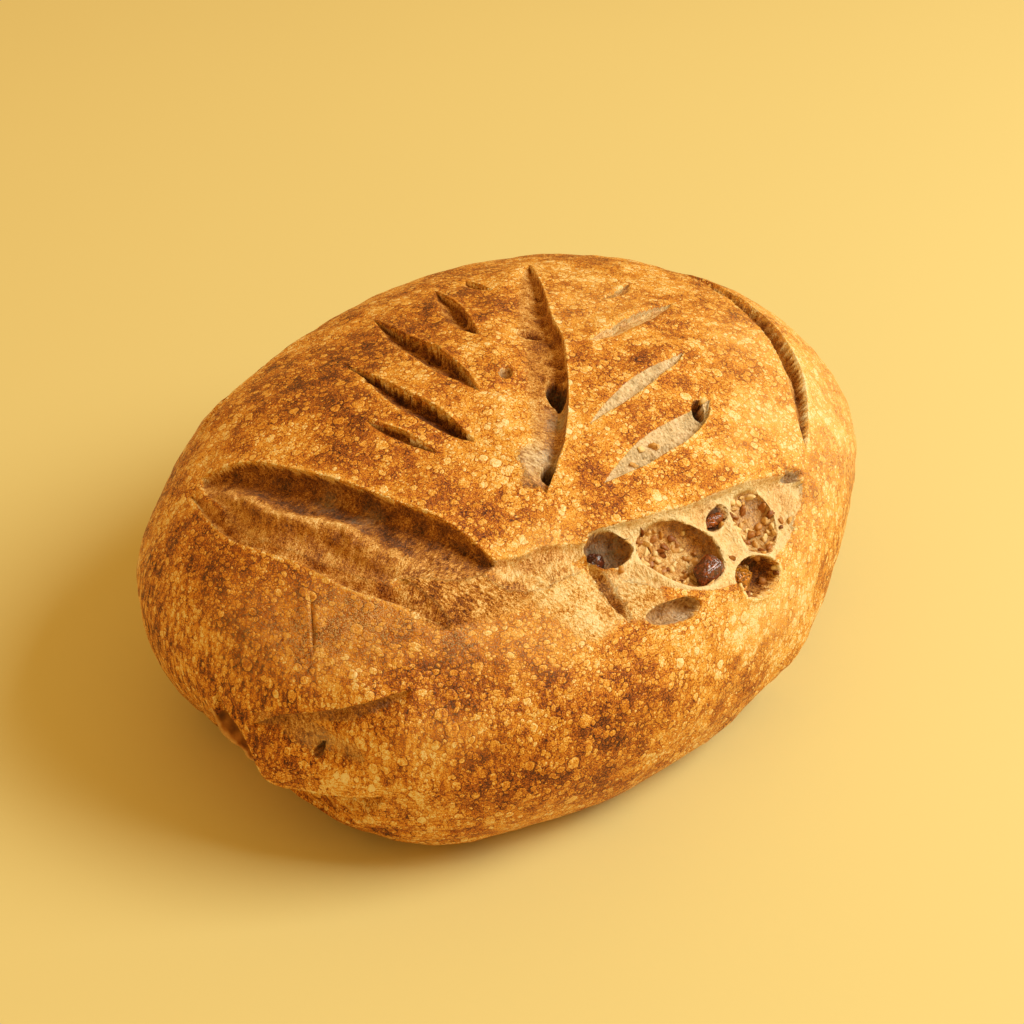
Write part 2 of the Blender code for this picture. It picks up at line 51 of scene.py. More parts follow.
def linear(hexColor):
    channels = [int(hexColor[k:k + 2], 16) / 255 for k in (1, 3, 5)]
    return tuple(c / 12.92 if c <= 0.04045 else ((c + 0.055) / 1.055) ** 2.4 for c in channels) + (1,)


def perMm(size):
    return 1 / (size * mm)  # texture scale for features of that many millimetres


def addNode(tree, kind, inputs=None, stops=None, **settings):
    # a value that is a node or a socket is linked, anything else is the socket's own value
    node = tree.nodes.new(kind)
    for name, value in settings.items():
        setattr(node, name, value)
    if stops:
        elements = node.color_ramp.elements
        elements.remove(elements[1])
        elements[0].position = stops[0][0]
        elements[0].color = linear(stops[0][1])
        for at, hexColor in stops[1:]:
            elements.new(at).color = linear(hexColor)
    for name, value in (inputs or {}).items():
        socket = node.inputs[name] if isinstance(name, int) else next(
            s for s in node.inputs if s.enabled and s.name == name)
        if isinstance(value, bpy.types.Node):
            value = next(s for s in value.outputs if s.enabled)
        if isinstance(value, bpy.types.NodeSocket):
            tree.links.new(value, socket)
        else:
            socket.default_value = value
    return node


def newMaterial(name):
    material = bpy.data.materials.new(name)
    material.use_nodes = True
    return material, material.node_tree, material.node_tree.nodes["Principled BSDF"]


def newTree(name, sizes):
    # a geometry tree with its group input, and one named input for each size
    tree = bpy.data.node_groups.new(name, "GeometryNodeTree")
    tree.interface.new_socket("Geometry", in_out="INPUT", socket_type="NodeSocketGeometry")
    for size, value in sizes.items():
        tree.interface.new_socket(size, in_out="INPUT", socket_type="NodeSocketFloat").default_value = value
    tree.interface.new_socket("Geometry", in_out="OUTPUT", socket_type="NodeSocketGeometry")
    return tree, tree.nodes.new("NodeGroupInput")


def endTree(tree, geometry, material):
    real = addNode(tree, "GeometryNodeRealizeInstances", {"Geometry": geometry})
    painted = addNode(tree, "GeometryNodeSetMaterial", {"Geometry": real, "Material": material})
    addNode(tree, "NodeGroupOutput", {"Geometry": painted})


def useTree(obj, tree, sizes):
    # runs the tree on the object and keeps the result as its plain mesh
    modifier = obj.modifiers.new(tree.name, "NODES")
    modifier.node_group = tree
    for item in tree.interface.items_tree:
        if item.in_out == "INPUT" and item.name in sizes:
            modifier[item.identifier] = sizes[item.name]
    depsgraph = bpy.context.evaluated_depsgraph_get()
    evaluated = obj.evaluated_get(depsgraph)
    mesh = bpy.data.meshes.new_from_object(evaluated, preserve_all_data_layers=True, depsgraph=depsgraph)
    obj.modifiers.clear()
    obj.data = mesh
    return obj


def newObject(name, mesh):
    obj = bpy.data.objects.new(name, mesh)
    bpy.context.scene.collection.objects.link(obj)
    return obj


def unit(vectors):
    return vectors / np.maximum(np.linalg.norm(vectors, axis=-1, keepdims=True), 1e-12)


def fade(value, start, end):
    t = np.clip((value - start) / (end - start), 0, 1)
    return t * t * (3 - 2 * t)


def rough(points, size, seed):
    # smooth noise from -1 to 1, lumps of that size
    shift = Vector((seed * 3.1, seed * 1.7, seed * 5.3))
    return np.array([noise.noise(Vector(p) / size + shift) for p in points])


# ---- the dough's form
# A place on the crust is a point of the crust map: the crust unrolled as a disc seen from above.
# (0, 0) is the top, a distance of 1 the widest line, 2 the edge of the base, +X along the loaf.

dough = {
    "length": 270, "width": 210, "height": 112,  # mm
    "widestAt": 0.42,  # share of the height
    "baseShare": 0.74,  # flat base, share of the widest line
    "planSquareness": 2.24, "domeSquareness": 2.35,
    "ridgePath": ((-0.47, 0.29), (-0.48, 0.19), (-0.497, 0.09), (-0.475, -0.035), (-0.475, -0.122),
                  (-0.46, -0.20)),
    "ridgeHeight": 6.0, "ridgeHalf": 4.2,
    "cragSize": 7, "cragHeight": 0.9, "lumpSize": 32, "lumpHeight": 1.1,
    "footFollows": 1.75,
    "steepShare": 0.2,  # share of a cut's width that its steep wall takes
}

# Each cut follows one lip and opens to one side of it: 1 is left of the path, -1 right.
# toast is how dark its crumb is baked, ashen how grey and skinned over.
cuts = {
    "leafRib": dict(
        lip=((-0.235, -0.282), (-0.137, -0.232), (0.0, -0.12), (0.113, 0.013), (0.275, 0.208)),
        side=1, width=22, depth=5.5, overhang=1.4, lift=1.2, peak=0.42, blunt=0.6, farPower=1.2,
        toast=0.52, farToast=0.38, skin=0.8, skinFrom=(0.3, 0.8), ashen=0.0),
    "leftVein1": dict(
        lip=((0.165, 0.272), (0.138, 0.178)),
        side=-1, width=4.5, depth=3, overhang=0.2, lift=0.5, peak=0.5, blunt=0.7, farPower=0.9,
        toast=0.6, ashen=0.0),
    "leftVein2": dict(
        lip=((0.11, 0.30), (0.06, 0.185), (-0.002, 0.083)),
        side=-1, width=8, depth=5, overhang=0.6, lift=1.0, peak=0.6, blunt=0.7, farPower=1.0,
        toast=0.6, ashen=0.0),
    "leftVein3": dict(
        lip=((-0.012, 0.345), (-0.047, 0.228), (-0.067, 0.13), (-0.092, 0.048), (-0.132, -0.037)),
        side=-1, width=8.5, depth=6, overhang=1.0, lift=1.2, peak=0.6, blunt=0.7, farPower=0.9,
        toast=0.62, ashen=0.0),
    "leftVein4": dict(
        lip=((-0.15, 0.275), (-0.17, 0.163), (-0.195, 0.055), (-0.207, -0.035), (-0.222, -0.11)),
        side=-1, width=7.5, depth=6.5, overhang=1.0, lift=1.2, peak=0.68, blunt=0.7, farPower=0.9,
        toast=0.75, ashen=0.0),
    "leftVein5": dict(
        lip=((-0.27, 0.088), (-0.27, 0.01), (-0.275, -0.077)),
        side=-1, width=3.8, depth=3.5, overhang=0.2, lift=0.8, peak=0.5, blunt=0.7, farPower=0.8,
        toast=0.7, ashen=0.0),
    "rightVein1": dict(
        lip=((0.22, -0.022), (0.312, -0.01)),
        side=-1, width=4, depth=3, overhang=0.2, lift=0.4, peak=0.5, blunt=0.7, farPower=0.9,
        toast=0.5, ashen=0.2),
    "rightVein2": dict(
        lip=((0.068, -0.10), (0.127, -0.10), (0.2, -0.105), (0.288, -0.127)),
        side=-1, width=7, depth=3.5, overhang=0.5, lift=0.8, peak=0.5, blunt=0.7, farPower=1.1,
        toast=0.25, ashen=0.35),
    "rightVein3": dict(
        lip=((-0.092, -0.25), (-0.02, -0.268), (0.05, -0.272), (0.12, -0.265), (0.165, -0.25)),
        side=1, width=7, depth=3.6, overhang=0.3, lift=0.8, peak=0.5, blunt=0.75, farPower=0.9,
        toast=0.15, ashen=0.8),
    "rightVein4": dict(
        lip=((-0.175, -0.352), (-0.10, -0.388), (-0.01, -0.41), (0.06, -0.40), (0.103, -0.37)),
        side=1, width=10, depth=4.6, overhang=0.5, lift=0.8, peak=0.5, blunt=0.75, farPower=0.9,
        toast=0.15, ashen=0.8, grit=0.08),
    "rightRim": dict(
        lip=((0.53, 0.0), (0.50, -0.11), (0.455, -0.2), (0.41, -0.31), (0.355, -0.41), (0.29, -0.495),
             (0.2, -0.59)),
        side=-1, width=7, depth=5, overhang=1.0, lift=2.0, peak=0.55, blunt=0.6, farPower=1.1,
        toast=0.5, ashen=0.1),
    "leftRim": dict(
        lip=((-0.35, 0.482), (-0.28, 0.503), (-0.21, 0.518), (-0.08, 0.53), (0.055, 0.538)),
        side=1, width=8, depth=5.5, overhang=0.8, lift=1.2, peak=0.35, blunt=0.6, farPower=1.0,
        toast=0.7, ashen=0.0),
    "leftGash": dict(
        lip=((-0.45, 0.36), (-0.405, 0.25), (-0.40, 0.10), (-0.392, -0.05), (-0.375, -0.19),
             (-0.387, -0.307)),
        side=-1, width=29, depth=7.5, overhang=2.0, lift=2.2, peak=0.52, blunt=0.45, farPower=0.8,
        toast=0.6, farToast=0.46, ashen=0.05),
    "leftGashSill": dict(
        lip=((-0.495, 0.37), (-0.535, 0.26), (-0.566, 0.153), (-0.562, -0.005), (-0.559, -0.126),
             (-0.539, -0.227), (-0.533, -0.321)),
        side=1, width=10, depth=2.6, overhang=0.5, lift=1.6, peak=0.5, blunt=0.4, farPower=1.6,
        toast=0.5, ashen=0.0, crisp=1.7),
    "rightGash": dict(
        lip=((-0.262, -0.395), (-0.205, -0.437), (-0.12, -0.50), (-0.052, -0.53), (0.033, -0.567),
             (0.11, -0.61), (0.15, -0.655)),
        side=-1, width=28, depth=5.5, overhang=0.8, lift=1.4, peak=0.5, blunt=0.35, farPower=0.7,
        toast=0.14, ashen=0.3, grit=0.05),
    "frontLip": dict(
        lip=((-0.40, -0.28), (-0.36, -0.33), (-0.322, -0.352), (-0.27, -0.42)),
        side=-1, width=12, depth=3.2, overhang=0.3, lift=1.2, peak=0.5, blunt=0.5, farPower=2.0,
        toast=0.25, ashen=0.1),
    "frontSlot": dict(
        lip=((-0.287, -0.415), (-0.31, -0.45), (-0.33, -0.52), (-0.345, -0.6)),
        side=1, width=4.0, depth=4.5, overhang=0.4, lift=0.6, peak=0.6, blunt=0.7, farPower=0.9,
        toast=0.45, ashen=0.1),
    "endTear": dict(
        lip=((-0.985, 0.0), (-0.90, -0.105), (-0.832, -0.20), (-0.74, -0.29), (-0.68, -0.34)),
        side=-1, width=16, depth=4.5, overhang=0.3, lift=0.4, peak=0.5, blunt=0.6, farPower=1.2,
        toast=0.52, farToast=0.46, ashen=0.1, skin=1.0, skinFrom=(0.15, 0.5), crisp=0.0),
    "endLedge": dict(
        lip=((-0.93, 0.13), (-1.00, 0.065), (-1.10, 0.02), (-1.19, -0.045), (-1.22, -0.14), (-1.19, -0.25),
             (-1.13, -0.36), (-1.08, -0.45)),
        side=-1, width=20, depth=9.0, overhang=1.6, lift=2.2, peak=0.5, blunt=0.55, farPower=0.8,
        toast=0.58, farToast=0.5, ashen=0.12, skin=1.0, skinFrom=(0.02, 0.3)),
    "flankCrease": dict(
        lip=((-0.600, -0.051), (-0.655, -0.085), (-0.71, -0.119)),
        side=1, width=1.6, depth=1.0, overhang=0.1, lift=0.3, peak=0.5, blunt=0.7, farPower=1.0,
        toast=0.6, ashen=0.0, skin=0.6, skinFrom=(0.0, 0.3), crisp=0.6),
}

# Round hollows: middle, the point its long axis runs towards, half-lengths, depth and rim in mm.
# grit is how many nut and bran bits lie in it.
bubbles = {
    "bigBubble": dict(
        at=(-0.178, -0.574), towards=(-0.128, -0.664), half=(15.5, 10.5), depth=10.5, rim=1.8, undercut=4.2,
        toast=0.2, ashen=0.15, grit=1.0),
    "leftBubble": dict(
        at=(-0.262, -0.45), towards=(-0.30, -0.42), half=(8.0, 6.0), depth=9.5, rim=1.2, undercut=1.6,
        toast=0.62, ashen=0.3, grit=0.0),
    "upperBubble": dict(
        at=(-0.005, -0.655), towards=(0.03, -0.60), half=(11.0, 9.0), depth=8.5, rim=1.2, undercut=2.0,
        toast=0.28, ashen=0.35, grit=1.0),
    "lowerBubble": dict(
        at=(-0.081, -0.763), towards=(-0.023, -0.80), half=(10.5, 6.5), depth=9.5, rim=1.2, undercut=2.0,
        toast=0.62, ashen=0.05, grit=0.5),
    "sliverBubble": dict(
        at=(-0.067, -0.583), towards=(-0.027, -0.573), half=(6.2, 3.2), depth=7.0, rim=0.8, undercut=1.0,
        toast=0.75, ashen=0.1, grit=0.0),
    "lipHollow": dict(
        at=(-0.275, -0.655), towards=(-0.213, -0.70), half=(10.0, 3.6), depth=6.5, rim=0.6, undercut=1.6,
        toast=0.42, ashen=0.6, grit=0.0),
    "ribCave": dict(
        at=(-0.055, -0.137), towards=(-0.02, -0.10), half=(8.0, 3.6), depth=15.0, rim=0.3,
        toast=0.85, ashen=0.2, grit=0.0),
    "ribCaveLow": dict(
        at=(-0.203, -0.253), towards=(-0.17, -0.235), half=(4.5, 2.4), depth=12.0, rim=0.2,
        toast=0.8, ashen=0.3, grit=0.0),
    "ribPore": dict(
        at=(0.053, 0.022), towards=(0.066, 0.0), half=(4.4, 2.9), depth=8.5, rim=0.3,
        toast=0.6, ashen=0.0, grit=0.0),
    "ribCrack": dict(
        at=(-0.068, -0.038), towards=(-0.02, 0.0), half=(4.0, 2.4), depth=4.0, rim=0.2,
        toast=0.5, ashen=0.6, grit=0.0),
    "vein3Pore": dict(
        at=(-0.075, 0.125), towards=(-0.085, 0.08), half=(3.4, 2.4), depth=8.5, rim=0.2,
        toast=0.7, ashen=0.0, grit=0.0),
    "vein4Pore": dict(
        at=(-0.18, 0.163), towards=(-0.19, 0.10), half=(3.0, 2.2), depth=8.0, rim=0.2,
        toast=0.7, ashen=0.0, grit=0.0),
    "veinRightPore": dict(
        at=(0.066, -0.372), towards=(0.09, -0.35), half=(3.6, 2.6), depth=9.0, rim=0.3,
        toast=0.85, ashen=0.1, grit=0.0),
    "gashEndPore": dict(
        at=(0.125, -0.62), towards=(0.16, -0.64), half=(4.6, 2.4), depth=5.0, rim=0.3,
        toast=0.6, ashen=0.7, grit=0.0),
    "endPore": dict(
        at=(-1.0, -0.21), towards=(-1.04, -0.21), half=(2.4, 1.4), depth=4.0, rim=0.2,
        toast=0.8, ashen=0.2, grit=0.0),
}
reliefReach = 60  # mm, as far as a cut or a bubble can be felt

shadeSide = (1.0, -0.2, 0.2)  # the side on which the bubbles' walls go back furthest

# Soft lumps and hollows: map place, reach on the map, height in mm
swells = (
    ((-0.45, -0.42), 0.17, -3.5),  # the stretched dough where the two gashes meet
    ((-0.535, -0.44), 0.06, 1.8),
    ((-0.80, 0.25), 0.30, 1.5),
    ((-0.75, 0.68), 0.30, 2.2),
    ((0.40, -0.75), 0.22, 1.0),
    ((0.66, -0.98), 0.30, -2.8),
    ((0.12, -1.33), 0.16, 2.6),
    ((0.13, -0.20), 0.16, 1.2),
    ((-0.14, 0.10), 0.16, 1.0),
    ((-0.965, -0.23), 0.085, -4.5),  # torn hollow at the end, over the shelf
    ((-1.20, -0.06), 0.10, 3.5),  # the shelf's corner
    ((-0.315, -0.54), 0.04, -2.4),  # torn floor between the slot and the big bubble
    ((-0.275, -0.52), 0.025, -1.2),
)
footSpreads = (((-1.50, -0.78), 0.45, 6.0), ((-1.43, 0.30), 0.28, -7.0))

baseEdge = 2.0  # map distance of the base's edge
mapEnd = 2.5  # map distance of the middle of the base


def domeSection(rho):
    height, widest = dough["height"] * mm, dough["widestAt"] * dough["height"] * mm
    power, baseShare = dough["domeSquareness"], dough["baseShare"]
    turn = np.clip(rho, 0, 1) * math.pi / 2
    sine, cosine = np.sin(turn), np.cos(turn)
    reach = (sine**power + cosine**power) ** (-1 / power)
    share = reach * sine
    z = widest + (height - widest) * reach * cosine
    tuck = np.clip(rho - 1, 0, 1) * math.pi / 2
    share = np.where(rho > 1, baseShare + (1 - baseShare) * np.cos(tuck), share)
    z = np.where(rho > 1, widest * (1 - np.sin(tuck)), z)
    inward = np.clip((mapEnd - rho) / (mapEnd - baseEdge), 0, 1)
    return np.where(rho > baseEdge, baseShare * inward, share), z


def domePoints(places):
    rho = np.hypot(places[:, 0], places[:, 1])
    safe = np.maximum(rho, 1e-9)
    cosine, sine = places[:, 0] / safe, places[:, 1] / safe
    power = dough["planSquareness"]
    corner = np.abs(cosine) ** power + np.abs(sine) ** power
    corner = np.where(rho < 1e-9, 1.0, corner) ** (-1 / power)
    share, z = domeSection(rho)
    x = dough["length"] / 2 * mm * corner * cosine * share
    y = dough["width"] / 2 * mm * corner * sine * share
    return np.stack([x, y, z], axis=1)


def domeNormals(places):
    step = 0.004
    alongX = domePoints(places + (step, 0)) - domePoints(places - (step, 0))
    alongY = domePoints(places + (0, step)) - domePoints(places - (0, step))
    return unit(np.cross(alongX, alongY))


def smoothPath(controls, count=48):
    points = np.array(controls, float)
    points = np.vstack([2 * points[0] - points[1], points, 2 * points[-1] - points[-2]])
    spans = len(points) - 3
    place = np.linspace(0, spans, count)
    index = np.minimum(place.astype(int), spans - 1)
    t = (place - index)[:, None]
    a, b, c, d = (points[index + k] for k in range(4))
    return 0.5 * (2 * b + (c - a) * t + (2 * a - 5 * b + 4 * c - d) * t**2 + (3 * b - a - 3 * c + d) * t**3)


class Lip:
    # a path on the dome: where any point lies along it and beside it

    def __init__(self, controls, side=1):
        places = smoothPath(controls)
        self.points = domePoints(places)
        self.forward = unit(np.gradient(self.points, axis=0))
        self.beside = unit(np.cross(domeNormals(places), self.forward)) * side
        steps = np.linalg.norm(np.diff(self.points, axis=0), axis=1)
        self.along = np.concatenate([[0], np.cumsum(steps)])
        self.length = self.along[-1]

    def locate(self, points):
        # points out of reach come back as one that lies before the path's start
        reach = reliefReach * mm
        low, high = self.points.min(axis=0) - reach, self.points.max(axis=0) + reach
        near = ((points > low) & (points < high)).all(axis=1)
        share = np.full(len(points), -1.0)
        across = np.full(len(points), -1.0)
        beside = np.tile(self.beside[0], (len(points), 1))
        close = points[near]
        gaps = close[:, None, :] - self.points[None, :, :]
        nearest = np.einsum("ijk,ijk->ij", gaps, gaps).argmin(axis=1)
        gap = close - self.points[nearest]
        forward = np.einsum("ij,ij->i", gap, self.forward[nearest])
        share[near] = (self.along[nearest] + forward) / self.length
        across[near] = np.einsum("ij,ij->i", gap, self.beside[nearest])
        beside[near] = self.beside[nearest]
        return share, across, beside


for cut in cuts.values():
    cut["line"] = Lip(cut["lip"], cut["side"])
ridgeLine = Lip(dough["ridgePath"])


def taper(share, peak, blunt):
    inside = np.clip(share, 0, 1) ** (math.log(0.5) / math.log(peak))
    return np.maximum(np.sin(math.pi * inside), 0) ** blunt


def cutRegion(cut, points):
    share, across, beside = cut["line"].locate(points)
    size = taper(share, cut["peak"], cut["blunt"])
    return size, across, beside, size * cut["width"] * mm, share


def cutRelief(cut, points):
    # rise of the lips, depth of the floor, sideways shift of the overhang, and the place in the tear
    size, across, beside, width, share = cutRegion(cut, points)
    steep = dough["steepShare"]
    v = across / np.maximum(width, 1e-6)
    inside = (v > 0) & (v < 1) & (size > 0)
    v = np.clip(v, 0, 1)
    wall = 1 - (1 - np.minimum(v / steep, 1)) ** 2
    depth = np.where(inside, cut["depth"] * mm * np.sqrt(size) * wall * (1 - v) ** cut["farPower"], 0)
    lift = cut["lift"] * mm * size
    reach = (3 + cut["lift"] * 4) * mm
    rise = np.where(across <= 0, lift * np.exp(np.minimum(across, 0) / reach), lift * (1 - wall) * inside)
    far = np.where(across >= width, 0.35 * lift * np.exp(-np.maximum(across - width, 0) / reach), 0)
    under = v / steep * np.exp(1 - v / steep) * inside
    shift = -beside * (cut["overhang"] * mm * size * under)[:, None]
    tear = np.stack([share * cut["line"].length, across, depth], axis=1)
    return rise + far * (size > 0), depth, shift, tear


def bubbleFrame(bubble):
    at = np.array([bubble["at"]], float)
    middle, normal = domePoints(at)[0], domeNormals(at)[0]
    longWay = domePoints(np.array([bubble["towards"]], float))[0] - middle
    longWay = unit(longWay - normal * (longWay @ normal))
    return middle, normal, longWay, np.cross(normal, longWay)


def bubbleDistance(bubble, points):
    # 1 on the rim of a bubble, 0 at its middle
    middle, _, longWay, shortWay = bubbleFrame(bubble)
    gap = points - middle
    away = np.linalg.norm(gap, axis=1) > reliefReach * mm
    along, across = gap @ longWay / (bubble["half"][0] * mm), gap @ shortWay / (bubble["half"][1] * mm)
    return np.hypot(along, across) + np.where(away, 9, 0)


def bubbleRelief(bubble, points):
    # rise of the rim, depth of the pit, and how far its wall goes back under the rim
    middle, normal, _, _ = bubbleFrame(bubble)
    r = bubbleDistance(bubble, points)
    pit = bubble["depth"] * mm * np.sqrt(np.clip(1 - r**2.5, 0, 1))
    ring = bubble["rim"] * mm * np.exp(-(((r - 1.05) / 0.16) ** 2))
    gap = points - middle
    outward = unit(gap - (gap @ normal)[:, None] * normal)
    away = np.clip(0.45 + 0.55 * outward @ unit(np.array(shadeSide)), 0, 1)
    wall = np.clip(r, 0, 1) ** 3 * np.clip((1 - r) / 0.12, 0, 1)
    shift = outward * (bubble.get("undercut", 0.0) * mm * away * wall)[:, None]
    return ring * (r > 0.9), pit, shift


def patches(places, table):
    # sum of soft round patches: map place, reach on the map, amount
    total = np.zeros(len(places))
    for (x, y), reach, amount in table:
        away = np.hypot(places[:, 0] - x, places[:, 1] - y)
        total += amount * np.exp(-((away / reach) ** 2))
    return total


def footSpread(places, points):
    rho = np.hypot(places[:, 0], places[:, 1])
    held = places * (np.minimum(rho, dough["footFollows"]) / np.maximum(rho, 1e-9))[:, None]
    outward = points * (1, 1, 0) / (dough["width"] / 2 * mm)
    return outward * (patches(held, footSpreads) * mm)[:, None]


def mapPlaces(directions):
    # up on the sphere is (0, 0) on the map, down is mapEnd
    share = np.arccos(np.clip(directions[:, 2], -1, 1)) / math.pi
    middle = 1.523
    rho = middle * share + (mapEnd - middle) * share**3
    around = np.arctan2(directions[:, 1], directions[:, 0])
    return np.stack([rho * np.cos(around), rho * np.sin(around)], axis=1)


# Where the crust is floured or baked dark: map place, reach on the map, amount
flouryPatches = (
    ((-0.68, -0.12), 0.10, 0.7), ((-0.57, -0.19), 0.09, 0.7), ((-0.74, 0.05), 0.12, 0.35),
    ((-0.52, -0.34), 0.07, 0.6), ((-0.33, -0.365), 0.05, 0.6), ((-0.44, -0.47), 0.09, 0.5),
    ((0.30, -0.62), 0.16, 0.5), ((0.42, -0.55), 0.14, 0.6), ((0.60, -0.35), 0.20, 0.6),
    ((0.20, -0.02), 0.10, 0.3), ((0.06, -0.50), 0.05, 0.3), ((0.13, -0.74), 0.10, 0.5),
    ((-0.76, -0.47), 0.10, 0.3), ((-0.05, -0.86), 0.14, 0.4), ((0.02, -1.0), 0.14, 0.4),
    ((0.46, -0.70), 0.16, 0.6), ((0.30, -0.30), 0.08, 0.35), ((0.17, -0.46), 0.06, 0.4),
)
darkPatches = (
    ((-0.15, 0.31), 0.12, 0.5), ((0.02, 0.24), 0.12, 0.45), ((-0.26, 0.14), 0.08, 0.45),
    ((-0.30, -0.02), 0.07, 0.5), ((-0.20, 0.40), 0.15, 0.4), ((0.14, 0.10), 0.08, 0.3),
    ((-0.21, -0.39), 0.06, 0.5), ((0.08, -0.20), 0.05, 0.3), ((0.16, -0.33), 0.06, 0.25),
    ((-0.52, -0.30), 0.06, 0.5), ((-0.62, -0.42), 0.10, 0.4), ((-0.50, -0.80), 0.25, 0.35),
    ((-0.70, -0.75), 0.22, 0.35), ((-0.62, 0.22), 0.20, 0.35), ((0.10, -0.84), 0.12, 0.25),
    ((-0.80, 0.30), 0.25, 0.25), ((0.33, -0.20), 0.10, 0.25),
    ((-0.28, -0.74), 0.13, -0.9), ((-0.12, -0.86), 0.14, -0.7), ((0.30, -0.55), 0.22, -0.5),
    ((0.05, -1.0), 0.2, -0.6), ((-0.06, -0.43), 0.10, -0.35), ((0.22, -0.36), 0.10, -0.3),
    ((-0.34, -0.95), 0.10, -0.3), ((-1.08, -0.30), 0.12, -0.4), ((-0.16, -0.15), 0.08, -0.3),
    ((-0.74, 0.18), 0.20, -0.2), ((-0.70, -0.02), 0.12, 0.3), ((-0.66, -0.12), 0.10, 0.15),
    ((-0.31, 0.14), 0.08, 0.2), ((-1.40, -0.35), 0.14, -0.2), ((-1.32, -0.12), 0.12, 0.3),
    ((-0.97, -0.20), 0.10, 0.3),
)


# Dough stretched thin and torn where the crust never closed: map place, reach, amount, toast. The rows at the rib's
# lower end, near (-0.2, -0.22), have a higher toast as painted shade of the pocket beside the lip.
tornPatches = (
    ((-0.355, -0.40), 0.045, 0.9, 0.24), ((-0.37, -0.47), 0.05, 0.9, 0.24), ((-0.385, -0.545), 0.045, 0.8, 0.24),
    ((-0.42, -0.36), 0.05, 0.8, 0.4), ((-0.45, -0.27), 0.05, 0.8, 0.5), ((-0.47, -0.33), 0.04, 0.7, 0.55),
    ((-0.50, -0.25), 0.04, 1.0, 0.55), ((-0.515, -0.30), 0.03, 0.9, 0.6), ((-0.47, -0.22), 0.04, 0.9, 0.5),
    ((-0.315, -0.50), 0.03, 1.0, 0.2), ((-0.312, -0.545), 0.035, 1.1, 0.2), ((-0.30, -0.60), 0.035, 1.0, 0.24),
    ((-0.27, -0.56), 0.03, 0.8, 0.2), ((-0.195, -0.212), 0.026, 1.1, 0.6), ((-0.232, -0.246), 0.022, 1.0, 0.56),
    ((-0.155, -0.20), 0.022, 0.7, 0.6), ((-0.93, -0.12), 0.06, 0.62, 0.5), ((-0.975, -0.20), 0.07, 0.6, 0.52),
    ((-0.93, -0.31), 0.06, 0.6, 0.52), ((-0.95, -0.03), 0.05, 0.5, 0.42),
)
# Skin of the dough that dried grey-white: map place, reach, amount
ashenPatches = (
    ((-0.195, -0.222), 0.04, 0.9), ((-0.10, -0.185), 0.03, 0.6), ((-0.30, -0.515), 0.03, 0.35),
    ((-0.97, -0.21), 0.06, 0.4), ((-0.255, -0.70), 0.04, 0.4), ((-0.06, -0.52), 0.035, 0.7),
    ((-0.435, -0.04), 0.03, 0.3), ((-0.43, 0.06), 0.03, 0.3),
    ((-0.03, -0.63), 0.03, 0.4),
)


